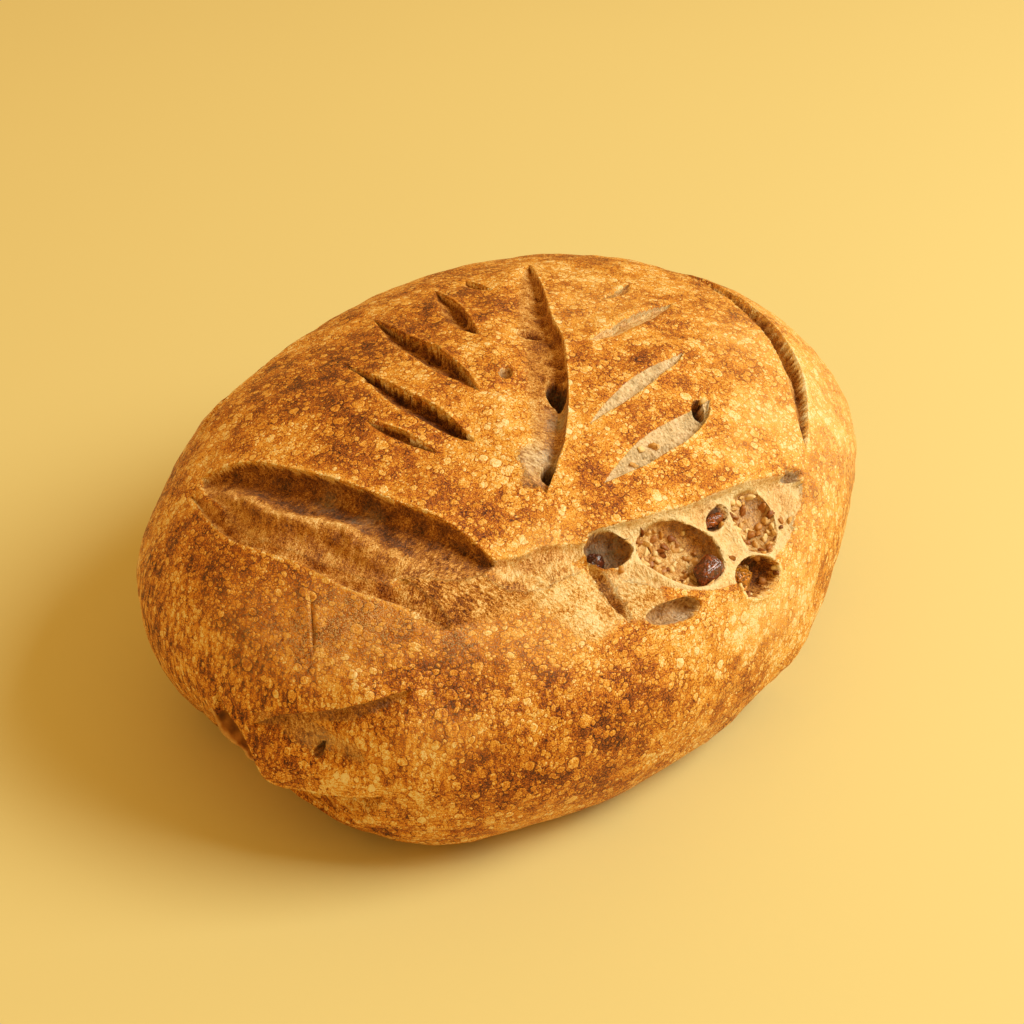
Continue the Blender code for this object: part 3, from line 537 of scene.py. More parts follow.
def shapeCrust(places):
    # crust points for map places, and what the relief and the finish need to know there
    points = domePoints(places)
    normals = domeNormals(places)
    rise = patches(places, swells) * mm
    depth = np.zeros(len(places))
    shift = np.zeros_like(points)
    marks = {name: np.zeros(len(places)) for name in ("toast", "ashen", "grit", "rim")}
    tear = points.copy()
    skinned = np.zeros(len(places))  # where the floor of a cut has baked over like crust
    for cut in cuts.values():
        lifted, cutDepth, aside, tearPlace = cutRelief(cut, points)
        deeper = cutDepth > depth
        tear[deeper] = tearPlace[deeper]
        for name in ("toast", "ashen"):
            marks[name][deeper] = cut[name]
        size, across, _, width, _ = cutRegion(cut, points)
        v = np.clip(across / np.maximum(width, 1e-6), 0, 1)
        marks["toast"][deeper] += (cut.get("farToast", cut["toast"]) - cut["toast"]) * fade(v[deeper], 0.25, 0.7)
        skinned[deeper] = cut.get("skin", 0.0) * fade(v[deeper], *cut.get("skinFrom", (0.2, 0.5)))
        marks["grit"][deeper] = cut.get("grit", 0.0) * fade(v[deeper], 0.15, 0.35)
        # a thin line just outside each lip is drawn lighter, a painted highlight where the edge catches the light,
        # scaled by the cut's own value
        crisp = np.exp(-(((across + 0.4 * mm) / (0.55 * mm)) ** 2)) * np.sqrt(size) * cut.get("crisp", 1.0)
        marks["rim"] = np.maximum(marks["rim"], crisp)
        rise += lifted
        depth = np.maximum(depth, cutDepth)
        shift += aside
    ridge, across, _ = ridgeLine.locate(points)
    torn = taper(ridge, 0.5, 0.5) * np.exp(-((across / (dough["ridgeHalf"] * mm)) ** 2))
    rise += dough["ridgeHeight"] * mm * torn
    # painted light on the ridge: its crest is drawn lighter as a painted highlight, and the trough beside it darker
    # as painted shade
    crestHighlight = np.sqrt(torn) * np.exp(-(((across / mm) / 1.4) ** 2))
    troughShade = taper(ridge, 0.5, 0.5) * np.exp(-(((across / mm - 5) / 3) ** 2))
    marks["toast"] += 0.1 * torn - 0.3 * crestHighlight + 0.16 * troughShade
    for bubble in bubbles.values():
        ring, pit, aside = bubbleRelief(bubble, points)
        deeper = pit > depth
        for name in ("toast", "ashen", "grit"):
            marks[name][deeper] = bubble[name]
        skinned[deeper] = 0
        under = np.linalg.norm(aside, axis=1) / mm
        # painted shade: the wall that goes back under the rim is drawn darker and greyer; painted highlight: the
        # raised rim is drawn lighter
        marks["toast"] += 0.13 * under - 0.14 * ring / (bubble["rim"] * mm)
        marks["ashen"] += 0.3 * bubble["ashen"] * under
        marks["grit"] *= 1 - fade(under, 0.6, 1.8)
        rise += ring
        shift += aside
        depth = np.maximum(depth, pit)
    crags = fade(depth, 0.5 * mm, 2.5 * mm)
    rise += dough["cragHeight"] * mm * crags * rough(points, dough["cragSize"] * mm, seed=1)
    rise += dough["lumpHeight"] * mm * rough(points, dough["lumpSize"] * mm, seed=2)
    rho = np.hypot(places[:, 0], places[:, 1])
    standing = 1 - fade(rho, 1.55, 1.95)
    shaped = points + normals * ((rise - depth) * standing)[:, None] + shift * standing[:, None]
    shaped += footSpread(places, points)
    shaped[:, 2] = np.where(rho >= baseEdge, 0, np.maximum(shaped[:, 2], 0))
    stretched = patches(places, [row[:3] for row in tornPatches])
    stretchedToast = patches(places, [(*row[:2], row[2] * row[3]) for row in tornPatches])
    marks["toast"] = np.where(depth > 0.3 * mm, marks["toast"], stretchedToast / np.maximum(stretched, 1e-6))
    stretched = np.clip(stretched, 0, 1)
    marks["crumb"] = np.maximum(fade(depth, 0.15 * mm, 0.9 * mm) * (1 - skinned), stretched)
    marks["loose"] = np.maximum(fade(depth, 0.8 * mm, 3.5 * mm), 0.7 * stretched)
    marks["pulled"] = stretched
    marks["ashen"] = np.clip(np.maximum(marks["ashen"], patches(places, ashenPatches)), 0, 1)
    marks["standing"] = standing
    # painted shade: the deeper in a cut, the darker the crumb is drawn
    marks["depthShade"] = np.clip(depth / (10 * mm), 0, 1)
    marks["flank"] = fade(rho, 0.5, 0.85)
    leftward = (places @ (-0.85, 0.5)) / np.maximum(rho, 1e-6)
    marks["streaky"] = marks["flank"] * (0.25 + 0.75 * fade(leftward, 0.0, 0.8))
    marks["foot"] = fade(rho, 1.1, 1.35) * (1 - fade(rho, 1.75, 1.95))
    marks["floury"] = np.clip(patches(places, flouryPatches), 0, 1)
    marks["dark"] = np.clip(patches(places, darkPatches), -1, 1)
    return shaped, marks, tear


# ---- the crust's mesh

crustMesh = {
    "cubeCells": 25,  # cells along each edge of the starting cube, about 5.7 mm each
    "fineTo": 1.9,  # map distance up to which the crust is two levels finer
    "cutMargin": 1.0,  # mm past a cut that it is three levels finer
    "snapShare": 0.3,  # a vertex this near a lip line, as a share of its edge, moves onto it
    "lineReach": 5.0,  # mm
    "lineFrom": 0.02,
}


def nearCut(points, margin):
    near = np.zeros(len(points), bool)
    for cut in cuts.values():
        size, across, _, width, _ = cutRegion(cut, points)
        near |= (size > 0) & (across > -margin) & (across < width + margin)
    for bubble in bubbles.values():
        near |= bubbleDistance(bubble, points) < 1 + margin / (bubble["half"][1] * mm)
    return near


def refine(bm, wanted):
    bm.faces.ensure_lookup_table()
    places = mapPlaces(unit(np.array([f.calc_center_median() for f in bm.faces])))
    picked = wanted(places, domePoints(places))
    edges = {e for f, pick in zip(bm.faces, picked) if pick for e in f.edges}
    bmesh.ops.subdivide_edges(bm, edges=list(edges), cuts=1, use_grid_fill=True)
    for v in bm.verts:
        v.co.normalize()


def lipLines():
    # one function for each line where the slope breaks: its signed distance
    lines = []
    for cut in cuts.values():
        for share in (0, dough["steepShare"], 1):
            def beside(points, cut=cut, share=share):
                size, across, _, width, _ = cutRegion(cut, points)
                miss = across - share * width
                close = (size > crustMesh["lineFrom"]) & (np.abs(miss) < crustMesh["lineReach"] * mm)
                return np.where(close, miss, np.nan)
            lines.append(beside)
    for bubble in bubbles.values():
        def outside(points, bubble=bubble):
            miss = (bubbleDistance(bubble, points) - 1) * bubble["half"][1] * mm
            return np.where(np.abs(miss) < crustMesh["lineReach"] * mm, miss, np.nan)
        lines.append(outside)
    return lines


def crossings(value, faces):
    # the mesh edges whose two ends lie on both sides of the line, once each
    edges = np.sort(faces[:, [0, 1, 1, 2, 2, 0]].reshape(-1, 2), axis=1)
    edges = edges[value[edges[:, 0]] * value[edges[:, 1]] < 0]
    edges = np.unique(edges, axis=0)
    first, second = value[edges[:, 0]], value[edges[:, 1]]
    return edges, first / (first - second)


def runEdgesAlong(verts, faces, pinned, line):
    # moves or splits edges so that mesh edges follow the line; pinned vertices stay
    value = line(domePoints(mapPlaces(verts)))
    edges, t = crossings(value, faces)
    ends = np.concatenate([edges, edges[:, ::-1]])
    reach = np.concatenate([t, 1 - t])
    good = (reach < crustMesh["snapShare"]) & ~pinned[ends[:, 0]]
    ends, reach = ends[good], reach[good]
    order = np.argsort(-reach)
    ends, reach = ends[order], reach[order]
    goal = verts.copy()
    goal[ends[:, 0]] = verts[ends[:, 0]] * (1 - reach)[:, None] + verts[ends[:, 1]] * reach[:, None]
    value[ends[:, 0]] = 0
    pinned[ends[:, 0]] = True
    edges, t = crossings(value, faces)
    middles = goal[edges[:, 0]] * (1 - t)[:, None] + goal[edges[:, 1]] * t[:, None]
    keys = edges[:, 0].astype(np.int64) * 10**8 + edges[:, 1]
    fresh = len(goal) + np.arange(len(edges))
    goal = unit(np.vstack([goal, middles]))
    pinned = np.concatenate([pinned, np.ones(len(edges), bool)])
    if not len(edges):
        return goal, faces, pinned

    def middleOf(a, b):
        key = np.minimum(a, b).astype(np.int64) * 10**8 + np.maximum(a, b)
        slot = np.minimum(np.searchsorted(keys, key), len(keys) - 1)
        return np.where(keys[slot] == key, fresh[slot], -1)

    splits = np.stack([middleOf(faces[:, k], faces[:, (k + 1) % 3]) for k in range(3)], axis=1)
    count = (splits >= 0).sum(axis=1)
    kept = [faces[count == 0]]
    for k in range(3):
        a, b, c = (faces[:, (k + n) % 3] for n in range(3))
        ab, bc, ca = (splits[:, (k + n) % 3] for n in range(3))
        one = (count == 1) & (ab >= 0)
        kept.append(np.stack([a, ab, c], axis=1)[one])
        kept.append(np.stack([ab, b, c], axis=1)[one])
        two = (count == 2) & (ab >= 0) & (ca >= 0)
        kept.append(np.stack([a, ab, ca], axis=1)[two])
        kept.append(np.stack([ab, b, c], axis=1)[two])
        kept.append(np.stack([ab, c, ca], axis=1)[two])
    return goal, np.concatenate(kept), pinned


def makeCrust():
    cells = crustMesh["cubeCells"]
    bm = bmesh.new()
    bmesh.ops.create_cube(bm, size=2)
    bmesh.ops.subdivide_edges(bm, edges=bm.edges[:], cuts=cells - 1, use_grid_fill=True)
    for v in bm.verts:
        v.co = Vector([math.tan(c * math.pi / 4) for c in v.co]).normalized()
    for _ in range(2):
        refine(bm, lambda places, points: np.hypot(places[:, 0], places[:, 1]) < crustMesh["fineTo"])
    refine(bm, lambda places, points: nearCut(points, crustMesh["cutMargin"] * mm))
    bmesh.ops.triangulate(bm, faces=bm.faces[:])
    bmesh.ops.recalc_face_normals(bm, faces=bm.faces[:])
    bm.verts.index_update()
    verts = np.array([v.co for v in bm.verts])
    faces = np.array([[v.index for v in f.verts] for f in bm.faces])
    bm.free()
    pinned = np.zeros(len(verts), bool)
    for line in lipLines():
        verts, faces, pinned = runEdgesAlong(verts, faces, pinned, line)
    points, marks, tear = shapeCrust(mapPlaces(verts))
    low, high = points.min(axis=0), points.max(axis=0)
    offset = np.array(((low[0] + high[0]) / 2, (low[1] + high[1]) / 2, low[2]))
    points -= offset
    mesh = bpy.data.meshes.new("crust")
    mesh.from_pydata(points.tolist(), [], faces.tolist())
    mesh.shade_smooth()
    for name, values in marks.items():
        mesh.attributes.new(name, "FLOAT", "POINT").data.foreach_set("value", values.astype(np.float32))
    mesh.attributes.new("tearPlace", "FLOAT_VECTOR", "POINT").data.foreach_set(
        "vector", tear.astype(np.float32).ravel())
    print("crust:", len(faces), "triangles")
    return newObject("crust", mesh), offset


# ---- the crust's small relief

crustRelief = {
    "dent size": 14 * mm, "dent height": 1.8 * mm,
    "crust lump size": 5 * mm, "crust lump height": 0.6 * mm,
    "foot fold size": 3.4 * mm, "foot fold height": 1.5 * mm,
    "crumb lump size": 4 * mm, "crumb lump height": 1.3 * mm,
    "pore size": 3.4 * mm, "pore depth": 1.1 * mm,
    "strand width": 1.7 * mm, "strand height": 0.6 * mm,
}


def crustReliefTree(material):
    tree, sizes = newTree("crustRelief", crustRelief)
    size = sizes.outputs
    place = addNode(tree, "GeometryNodeInputPosition")
    crumb = addNode(tree, "GeometryNodeInputNamedAttribute", {"Name": "crumb"}, data_type="FLOAT")
    standing = addNode(tree, "GeometryNodeInputNamedAttribute", {"Name": "standing"}, data_type="FLOAT")
    tear = addNode(tree, "GeometryNodeInputNamedAttribute", {"Name": "tearPlace"}, data_type="FLOAT_VECTOR")
    loose = addNode(tree, "GeometryNodeInputNamedAttribute", {"Name": "loose"}, data_type="FLOAT")
    plain = addNode(tree, "ShaderNodeMath", {0: 1.0, 1: crumb}, operation="SUBTRACT")

    def lumps(where, spacing, height, detail):
        scale = addNode(tree, "ShaderNodeMath", {0: 1.0, 1: spacing}, operation="DIVIDE")
        wave = addNode(tree, "ShaderNodeTexNoise", {"Vector": where, "Scale": scale, "Detail": detail})
        level = addNode(tree, "ShaderNodeMath", {0: wave, 1: 0.5}, operation="SUBTRACT")
        return addNode(tree, "ShaderNodeMath", {0: level, 1: height}, operation="MULTIPLY")

    dents = lumps(place, size["dent size"], size["dent height"], 1.0)
    crustLumps = lumps(place, size["crust lump size"], size["crust lump height"], 2.0)
    level = addNode(tree, "ShaderNodeVectorMath", {0: place, 1: (0.14, 0.14, 1.0)}, operation="MULTIPLY")
    footFolds = lumps(level, size["foot fold size"], size["foot fold height"], 2.0)
    foot = addNode(tree, "GeometryNodeInputNamedAttribute", {"Name": "foot"}, data_type="FLOAT")
    footFolds = addNode(tree, "ShaderNodeMath", {0: footFolds, 1: foot}, operation="MULTIPLY")
    crumbLumps = lumps(place, size["crumb lump size"], size["crumb lump height"], 3.0)
    stretched = addNode(tree, "ShaderNodeVectorMath", {0: tear, 1: (1.0, 0.5, 1.0)}, operation="MULTIPLY")
    strands = lumps(stretched, size["strand width"], size["strand height"], 2.0)
    poreScale = addNode(tree, "ShaderNodeMath", {0: 1.0, 1: size["pore size"]}, operation="DIVIDE")
    cell = addNode(tree, "ShaderNodeTexVoronoi", {"Vector": place, "Scale": poreScale})
    pore = addNode(tree, "ShaderNodeMapRange", {"Value": cell, "From Min": 0.12, "From Max": 0.42,
                                                "To Min": -1.0, "To Max": 0.0})
    pores = addNode(tree, "ShaderNodeMath", {0: pore, 1: size["pore depth"]}, operation="MULTIPLY")
    torn = addNode(tree, "ShaderNodeMath", {0: crumbLumps, 1: strands}, operation="ADD")
    torn = addNode(tree, "ShaderNodeMath", {0: torn, 1: pores}, operation="ADD")
    torn = addNode(tree, "ShaderNodeMath", {0: torn, 1: loose}, operation="MULTIPLY")
    skin = addNode(tree, "ShaderNodeMath", {0: crustLumps, 1: plain, 2: dents}, operation="MULTIPLY_ADD")
    height = addNode(tree, "ShaderNodeMath", {0: torn, 1: skin}, operation="ADD")
    height = addNode(tree, "ShaderNodeMath", {0: height, 1: footFolds}, operation="ADD")
    height = addNode(tree, "ShaderNodeMath", {0: height, 1: standing}, operation="MULTIPLY")
    normal = addNode(tree, "GeometryNodeInputNormal")
    offset = addNode(tree, "ShaderNodeVectorMath", {0: normal, "Scale": height}, operation="SCALE")
    goal = addNode(tree, "ShaderNodeVectorMath", {0: place, 1: offset}, operation="ADD")
    goal = addNode(tree, "ShaderNodeVectorMath", {0: goal, 1: (-1.0, -1.0, 0.0)}, operation="MAXIMUM")
    moved = addNode(tree, "GeometryNodeSetPosition", {"Geometry": size["Geometry"], "Position": goal})
    endTree(tree, moved, material)
    return tree


# ---- the crust's finish

crustLook = {
    # blister cells in mm, smallest and largest radius as a share of the cell, how bright, how raised
    "blisters": ((4.2, -0.22, 0.54, 0.9, 0.45), (2.6, -0.02, 0.58, 0.92, 0.35), (1.4, 0.12, 0.62, 0.82, 0.25)),
    "patchSize": 24, "mottleSize": 6, "speckSize": 0.8, "grainSize": 0.35, "streakWidth": 1.6,
    "meanBake": 0.49, "patchBake": 0.23, "mottleBake": 0.17, "darkBake": 0.26, "outlineBake": 0.2, "grainBake": 1.0,
    "scaleBake": -0.42, "speckBake": 0.6, "streakBake": 0.36, "rimBake": -0.2,
    # how baked: floury, golden, amber, chestnut, burnt
    "bakes": ((0.0, "#f8e2b0"), (0.14, "#f1c873"), (0.3, "#eaa93c"), (0.45, "#d58822"),
              (0.6, "#b15e12"), (0.74, "#83400c"), (0.88, "#53240a"), (1.0, "#331406")),
    "flour": "#f2c888", "flourCover": 0.85,
    "strandWidth": 0.8, "holeSize": 1.5,
    "crumbs": ((0.0, "#f8e0ae"), (0.22, "#efc680"), (0.42, "#d4943c"), (0.6, "#a8641a"),
               (0.8, "#703708"), (1.0, "#3a1804")),
    "driedSkin": ((0.15, "#5d4433"), (0.45, "#a98d6c"), (0.8, "#e2cda8"), (1.0, "#f0e2c4")),
}


def bakedCrust():
    # Wheat crust baked on stone: golden blisters on a browner ground, semi-gloss where the starch
    # has set and dull where flour lies. Torn crumb shows in the cuts.
    material, tree, shader = newMaterial("bakedWheatCrust")
    add = functools.partial(addNode, tree)
    look = crustLook
    place = add("ShaderNodeTexCoord").outputs["Object"]
    marks = {name: add("ShaderNodeAttribute", attribute_name=name).outputs["Fac"]
             for name in ("crumb", "toast", "ashen", "floury", "dark", "depthShade", "flank", "foot", "streaky",
                          "rim", "pulled")}
    tear = add("ShaderNodeAttribute", attribute_name="tearPlace").outputs["Vector"]

    def blotches(where, size, low, high):
        # soft patches of that many millimetres, 0 to 1
        wave = add("ShaderNodeTexNoise", {
            "Vector": where, "Scale": perMm(size), "Detail": 3.0, "Roughness": 0.55})
        return add("ShaderNodeMapRange", {"Value": wave, "From Min": low, "From Max": high},
                   interpolation_type="SMOOTHSTEP")

    patch = blotches(place, look["patchSize"], 0.36, 0.64)
    mottle = blotches(place, look["mottleSize"], 0.32, 0.68)
    speck = add("ShaderNodeTexNoise", {
        "Vector": place, "Scale": perMm(look["speckSize"]), "Detail": 2.0, "Roughness": 0.55})
    grain = add("ShaderNodeTexNoise", {
        "Vector": place, "Scale": perMm(look["grainSize"]), "Detail": 1.0, "Roughness": 0.5})
    # streaks run down the flank, and along the base at the foot
    turned = add("ShaderNodeMix", {0: marks["foot"], 4: (1.0, 1.0, 0.2), 5: (0.2, 0.2, 1.0)},
                 data_type="VECTOR").outputs[1]
    flowing = add("ShaderNodeVectorMath", {0: place, 1: turned}, operation="MULTIPLY")
    streak = blotches(flowing, look["streakWidth"], 0.35, 0.65)

    # wavy edges for the blisters
    sway = add("ShaderNodeTexNoise", {"Vector": place, "Scale": perMm(2.4), "Detail": 2.0})
    sway = add("ShaderNodeVectorMath", {0: sway.outputs["Color"], 1: (0.5, 0.5, 0.5)}, operation="SUBTRACT")
    sway = add("ShaderNodeVectorMath", {0: sway, "Scale": 1.6 * mm}, operation="SCALE")
    swayed = add("ShaderNodeVectorMath", {0: place, 1: sway}, operation="ADD")
    squeezed = add("ShaderNodeVectorMath", {0: swayed, 1: (1.0, 1.0, 0.8)}, operation="MULTIPLY")
    lay = add("ShaderNodeMix", {0: marks["flank"], 4: swayed, 5: squeezed}, data_type="VECTOR").outputs[1]

    scales, blisterEdgeShade, domes = 0.0, 0.0, 0.0
    for cell, low, high, bright, raised in look["blisters"]:
        cells = add("ShaderNodeTexVoronoi", {"Vector": lay, "Scale": perMm(cell)})
        picks = add("ShaderNodeSeparateColor", {"Color": cells.outputs["Color"]})
        radius = add("ShaderNodeMapRange", {"Value": picks.outputs[0], "To Min": low, "To Max": high})
        inside = add("ShaderNodeMath", {0: radius, 1: cells}, operation="SUBTRACT")
        disc = add("ShaderNodeMapRange", {"Value": inside, "From Max": 0.05}, interpolation_type="SMOOTHSTEP")
        tone = add("ShaderNodeMapRange", {"Value": picks.outputs[1], "To Min": 0.25 * bright, "To Max": bright})
        # the middle of a blister is baked a little browner than its edge
        middle = add("ShaderNodeMapRange", {
            "Value": inside, "From Min": 0.08, "From Max": 0.28, "To Min": 1.0, "To Max": 0.74})
        tone = add("ShaderNodeMath", {0: tone, 1: middle}, operation="MULTIPLY")
        tone = add("ShaderNodeMath", {0: tone, 1: disc}, operation="MULTIPLY")
        scales = add("ShaderNodeMath", {0: tone, 1: scales}, operation="MAXIMUM")
        # painted shade: a dark line round the edge of each blister, where the blisters meet
        near = add("ShaderNodeMath", {0: inside, 1: 0.02}, operation="ADD")
        near = add("ShaderNodeMath", {0: near}, operation="ABSOLUTE")
        edge = add("ShaderNodeMapRange", {"Value": near, "From Max": 0.07, "To Min": 1.0, "To Max": 0.0},
                   interpolation_type="SMOOTHSTEP")
        blisterEdgeShade = add("ShaderNodeMath", {0: edge, 1: blisterEdgeShade}, operation="MAXIMUM")
        bulge = add("ShaderNodeMapRange", {"Value": inside, "From Max": 0.16, "To Max": raised},
                    interpolation_type="SMOOTHSTEP")
        domes = add("ShaderNodeMath", {0: bulge, 1: domes}, operation="MAXIMUM")

    # how baked: each pattern moves it to either side of the mean; the lip line lightens it as a painted highlight and
    # the blister edges darken it as painted shade
    flow = add("ShaderNodeMath", {0: streak, 1: 0.5}, operation="SUBTRACT")
    flow = add("ShaderNodeMath", {0: flow, 1: marks["streaky"]}, operation="MULTIPLY")
    bake = look["meanBake"] - 0.5 * (look["patchBake"] + look["mottleBake"] + look["speckBake"] + look["grainBake"])
    for pattern, amount in ((patch, "patchBake"), (mottle, "mottleBake"), (speck, "speckBake"),
                            (grain, "grainBake"),
                            (marks["dark"], "darkBake"), (blisterEdgeShade, "outlineBake"), (scales, "scaleBake"),
                            (flow, "streakBake"), (marks["rim"], "rimBake")):
        bake = add("ShaderNodeMath", {0: pattern, 1: look[amount], 2: bake}, operation="MULTIPLY_ADD")
    baked = add("ShaderNodeValToRGB", {"Fac": bake}, stops=look["bakes"])
    dust = add("ShaderNodeMath", {0: speck, 1: 0.5, 2: grain}, operation="MULTIPLY_ADD")
    dust = add("ShaderNodeMapRange", {"Value": dust, "From Min": 0.68, "From Max": 0.9, "To Max": look["flourCover"]},
               interpolation_type="SMOOTHSTEP")
    dust = add("ShaderNodeMath", {0: dust, 1: marks["floury"]}, operation="MULTIPLY")
    dusted = add("ShaderNodeMix", {0: dust, 6: baked, 7: linear(look["flour"])}, data_type="RGBA").outputs[2]

    # torn crumb: strands run across the tear; small holes and deeper places are drawn darker, as painted shade
    across = add("ShaderNodeVectorMath", {0: tear, 1: (1.0, 0.28, 1.0)}, operation="MULTIPLY")
    strands = blotches(across, look["strandWidth"], 0.35, 0.65)
    pits = add("ShaderNodeTexVoronoi", {"Vector": swayed, "Scale": perMm(look["holeSize"])})
    pits = add("ShaderNodeMapRange", {"Value": pits, "From Min": 0.12, "From Max": 0.5, "To Min": 1.0, "To Max": 0.0},
               interpolation_type="SMOOTHSTEP")
    pulled = add("ShaderNodeMath", {0: strands, 1: 0.5}, operation="SUBTRACT")
    pulled = add("ShaderNodeMath", {0: pulled, 1: marks["pulled"]}, operation="MULTIPLY")
    toast = add("ShaderNodeMath", {0: marks["toast"], 1: 0.79}, operation="SUBTRACT")
    for pattern, amount in ((mottle, 0.3), (speck, 0.4), (grain, 1.0), (strands, -0.1), (pulled, -0.22), (pits, 0.12),
                            (marks["depthShade"], 0.08)):
        toast = add("ShaderNodeMath", {0: pattern, 1: amount, 2: toast}, operation="MULTIPLY_ADD")
    torn = add("ShaderNodeValToRGB", {"Fac": toast}, stops=look["crumbs"])
    dried = -0.6
    for pattern, amount in ((mottle, 0.5), (strands, 0.3), (speck, 0.9), (grain, 0.9), (pits, -0.25)):
        dried = add("ShaderNodeMath", {0: pattern, 1: amount, 2: dried}, operation="MULTIPLY_ADD")
    dried = add("ShaderNodeValToRGB", {"Fac": dried}, stops=look["driedSkin"])
    ashen = add("ShaderNodeMath", {0: marks["ashen"], 1: 0.8}, operation="MULTIPLY")
    torn = add("ShaderNodeMix", {0: ashen, 6: torn, 7: dried}, data_type="RGBA").outputs[2]
    cover = add("ShaderNodeMath", {0: speck, 1: 0.5, 2: marks["crumb"]}, operation="MULTIPLY_ADD")
    cover = add("ShaderNodeMapRange", {"Value": cover, "From Min": 0.6, "From Max": 0.9},
                interpolation_type="SMOOTHSTEP")
    color = add("ShaderNodeMix", {0: cover, 6: dusted, 7: torn}, data_type="RGBA").outputs[2]

    gloss = 0.5
    for pattern, amount in ((scales, -0.12), (dust, 0.3), (cover, 0.12)):
        gloss = add("ShaderNodeMath", {0: pattern, 1: amount, 2: gloss}, operation="MULTIPLY_ADD")
    height = domes
    for pattern, amount in ((speck, 0.6), (grain, 0.9), (mottle, 0.3)):
        height = add("ShaderNodeMath", {0: pattern, 1: amount, 2: height}, operation="MULTIPLY_ADD")
    tornHeight = 0.0
    for pattern, amount in ((speck, 0.9), (grain, 0.9), (strands, 0.6), (pits, -0.4)):
        tornHeight = add("ShaderNodeMath", {0: pattern, 1: amount, 2: tornHeight}, operation="MULTIPLY_ADD")
    level = add("ShaderNodeMix", {0: cover, 2: height, 3: tornHeight}, data_type="FLOAT").outputs[0]
    bump = add("ShaderNodeBump", {"Height": level, "Strength": 0.65, "Distance": 0.9 * mm})
    shader.inputs["Specular IOR Level"].default_value = 0.3
    tree.links.new(color, shader.inputs["Base Color"])
    tree.links.new(gloss.outputs[0], shader.inputs["Roughness"])
    tree.links.new(bump.outputs[0], shader.inputs["Normal"])
    return material


print("making the crust")
crustFinish = bakedCrust()
crust, crustOffset = makeCrust()
useTree(crust, crustReliefTree(crustFinish), crustRelief)
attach(crust, "root")
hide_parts("loaf")


# ---- the thin skin of dough that hangs off the torn end

skinFlap = {
    "inner": ((-0.915, 0.135), (-0.985, 0.07), (-1.08, 0.03), (-1.17, -0.02), (-1.22, -0.10)),  # map places
    "outer": ((-0.985, 0.235), (-1.07, 0.175), (-1.15, 0.115), (-1.215, 0.055), (-1.262, -0.03)),
    "innerSunk": 2.6, "outerProud": 1.6, "sag": 1.6, "thickness": 0.6,  # mm
    "ragged": 1.6, "ripple": 0.9, "rippleSize": 6, "edge": 1.6,  # mm
    "columns": 72, "rows": 26,
}


def doughSkin():
    # Dough stretched to a film and baked dry: glassy amber, with its free edge drawn paler as a painted highlight
    material, tree, shader = newMaterial("bakedDoughSkin")
    add = functools.partial(addNode, tree)
    place = add("ShaderNodeTexCoord").outputs["Object"]
    edge = add("ShaderNodeAttribute", attribute_name="edge").outputs["Fac"]
    cloud = add("ShaderNodeTexNoise", {"Vector": place, "Scale": perMm(4), "Detail": 3.0})
    shade = add("ShaderNodeMath", {0: edge, 1: 0.55, 2: cloud}, operation="MULTIPLY_ADD")
    color = add("ShaderNodeValToRGB", {"Fac": shade}, stops=(
        (0.25, "#6b3a10"), (0.5, "#a8661c"), (0.7, "#cf8f3c"), (1.0, "#f3cd88")))
    bump = add("ShaderNodeBump", {"Height": cloud, "Strength": 0.3, "Distance": 0.6 * mm})
    tree.links.new(color.outputs[0], shader.inputs["Base Color"])
    tree.links.new(bump.outputs[0], shader.inputs["Normal"])
    shader.inputs["Roughness"].default_value = 0.4
    shader.inputs["Specular IOR Level"].default_value = 0.3
    return material


def makeSkinFlap():
    columns, rows = skinFlap["columns"], skinFlap["rows"]
    inner, outer = smoothPath(skinFlap["inner"], columns), smoothPath(skinFlap["outer"], columns)
    innerPoints = domePoints(inner) - domeNormals(inner) * skinFlap["innerSunk"] * mm
    outerPoints = domePoints(outer) + domeNormals(outer) * skinFlap["outerProud"] * mm
    ends = np.sin(np.linspace(0, math.pi, columns)) ** 0.4  # the flap narrows towards both ends
    bm = bmesh.new()
    rim = bm.verts.layers.float.new("edge")
    grid = []
    for row in range(rows):
        share = row / (rows - 1)
        ragged = 1 + rough(innerPoints, 5 * mm, seed=21) * skinFlap["ragged"] * share**3 * 0.2
        reach = (share * (0.25 + 0.75 * ends) * ragged)[:, None]
        points = innerPoints * (1 - reach) + outerPoints * reach
        points -= domeNormals(inner) * skinFlap["sag"] * mm * math.sin(math.pi * share)
        points += domeNormals(inner) * (rough(points, skinFlap["rippleSize"] * mm, seed=8)
                                        * skinFlap["ripple"] * mm)[:, None]
        grid.append([bm.verts.new(point) for point in points - crustOffset])
    for row in range(rows - 1):
        for k in range(columns - 1):
            bm.faces.new((grid[row][k], grid[row][k + 1], grid[row + 1][k + 1], grid[row + 1][k]))
    # the free edge is marked for the painted highlight along it
    for row, verts in enumerate(grid):
        for v in verts:
            v[rim] = float(fade(row / (rows - 1), 0.86, 1.0))
    bmesh.ops.solidify(bm, geom=bm.faces[:], thickness=skinFlap["thickness"] * mm)
    bmesh.ops.recalc_face_normals(bm, faces=bm.faces[:])
    mesh = bpy.data.meshes.new("skinFlap")
    bm.to_mesh(mesh)
    bm.free()
    mesh.shade_smooth()
    mesh.materials.append(doughSkin())
    flap = newObject("skinFlap", mesh)
    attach(flap, "root")


print("making the skin flap")
makeSkinFlap()


# ---- walnut pieces baked into the right gash

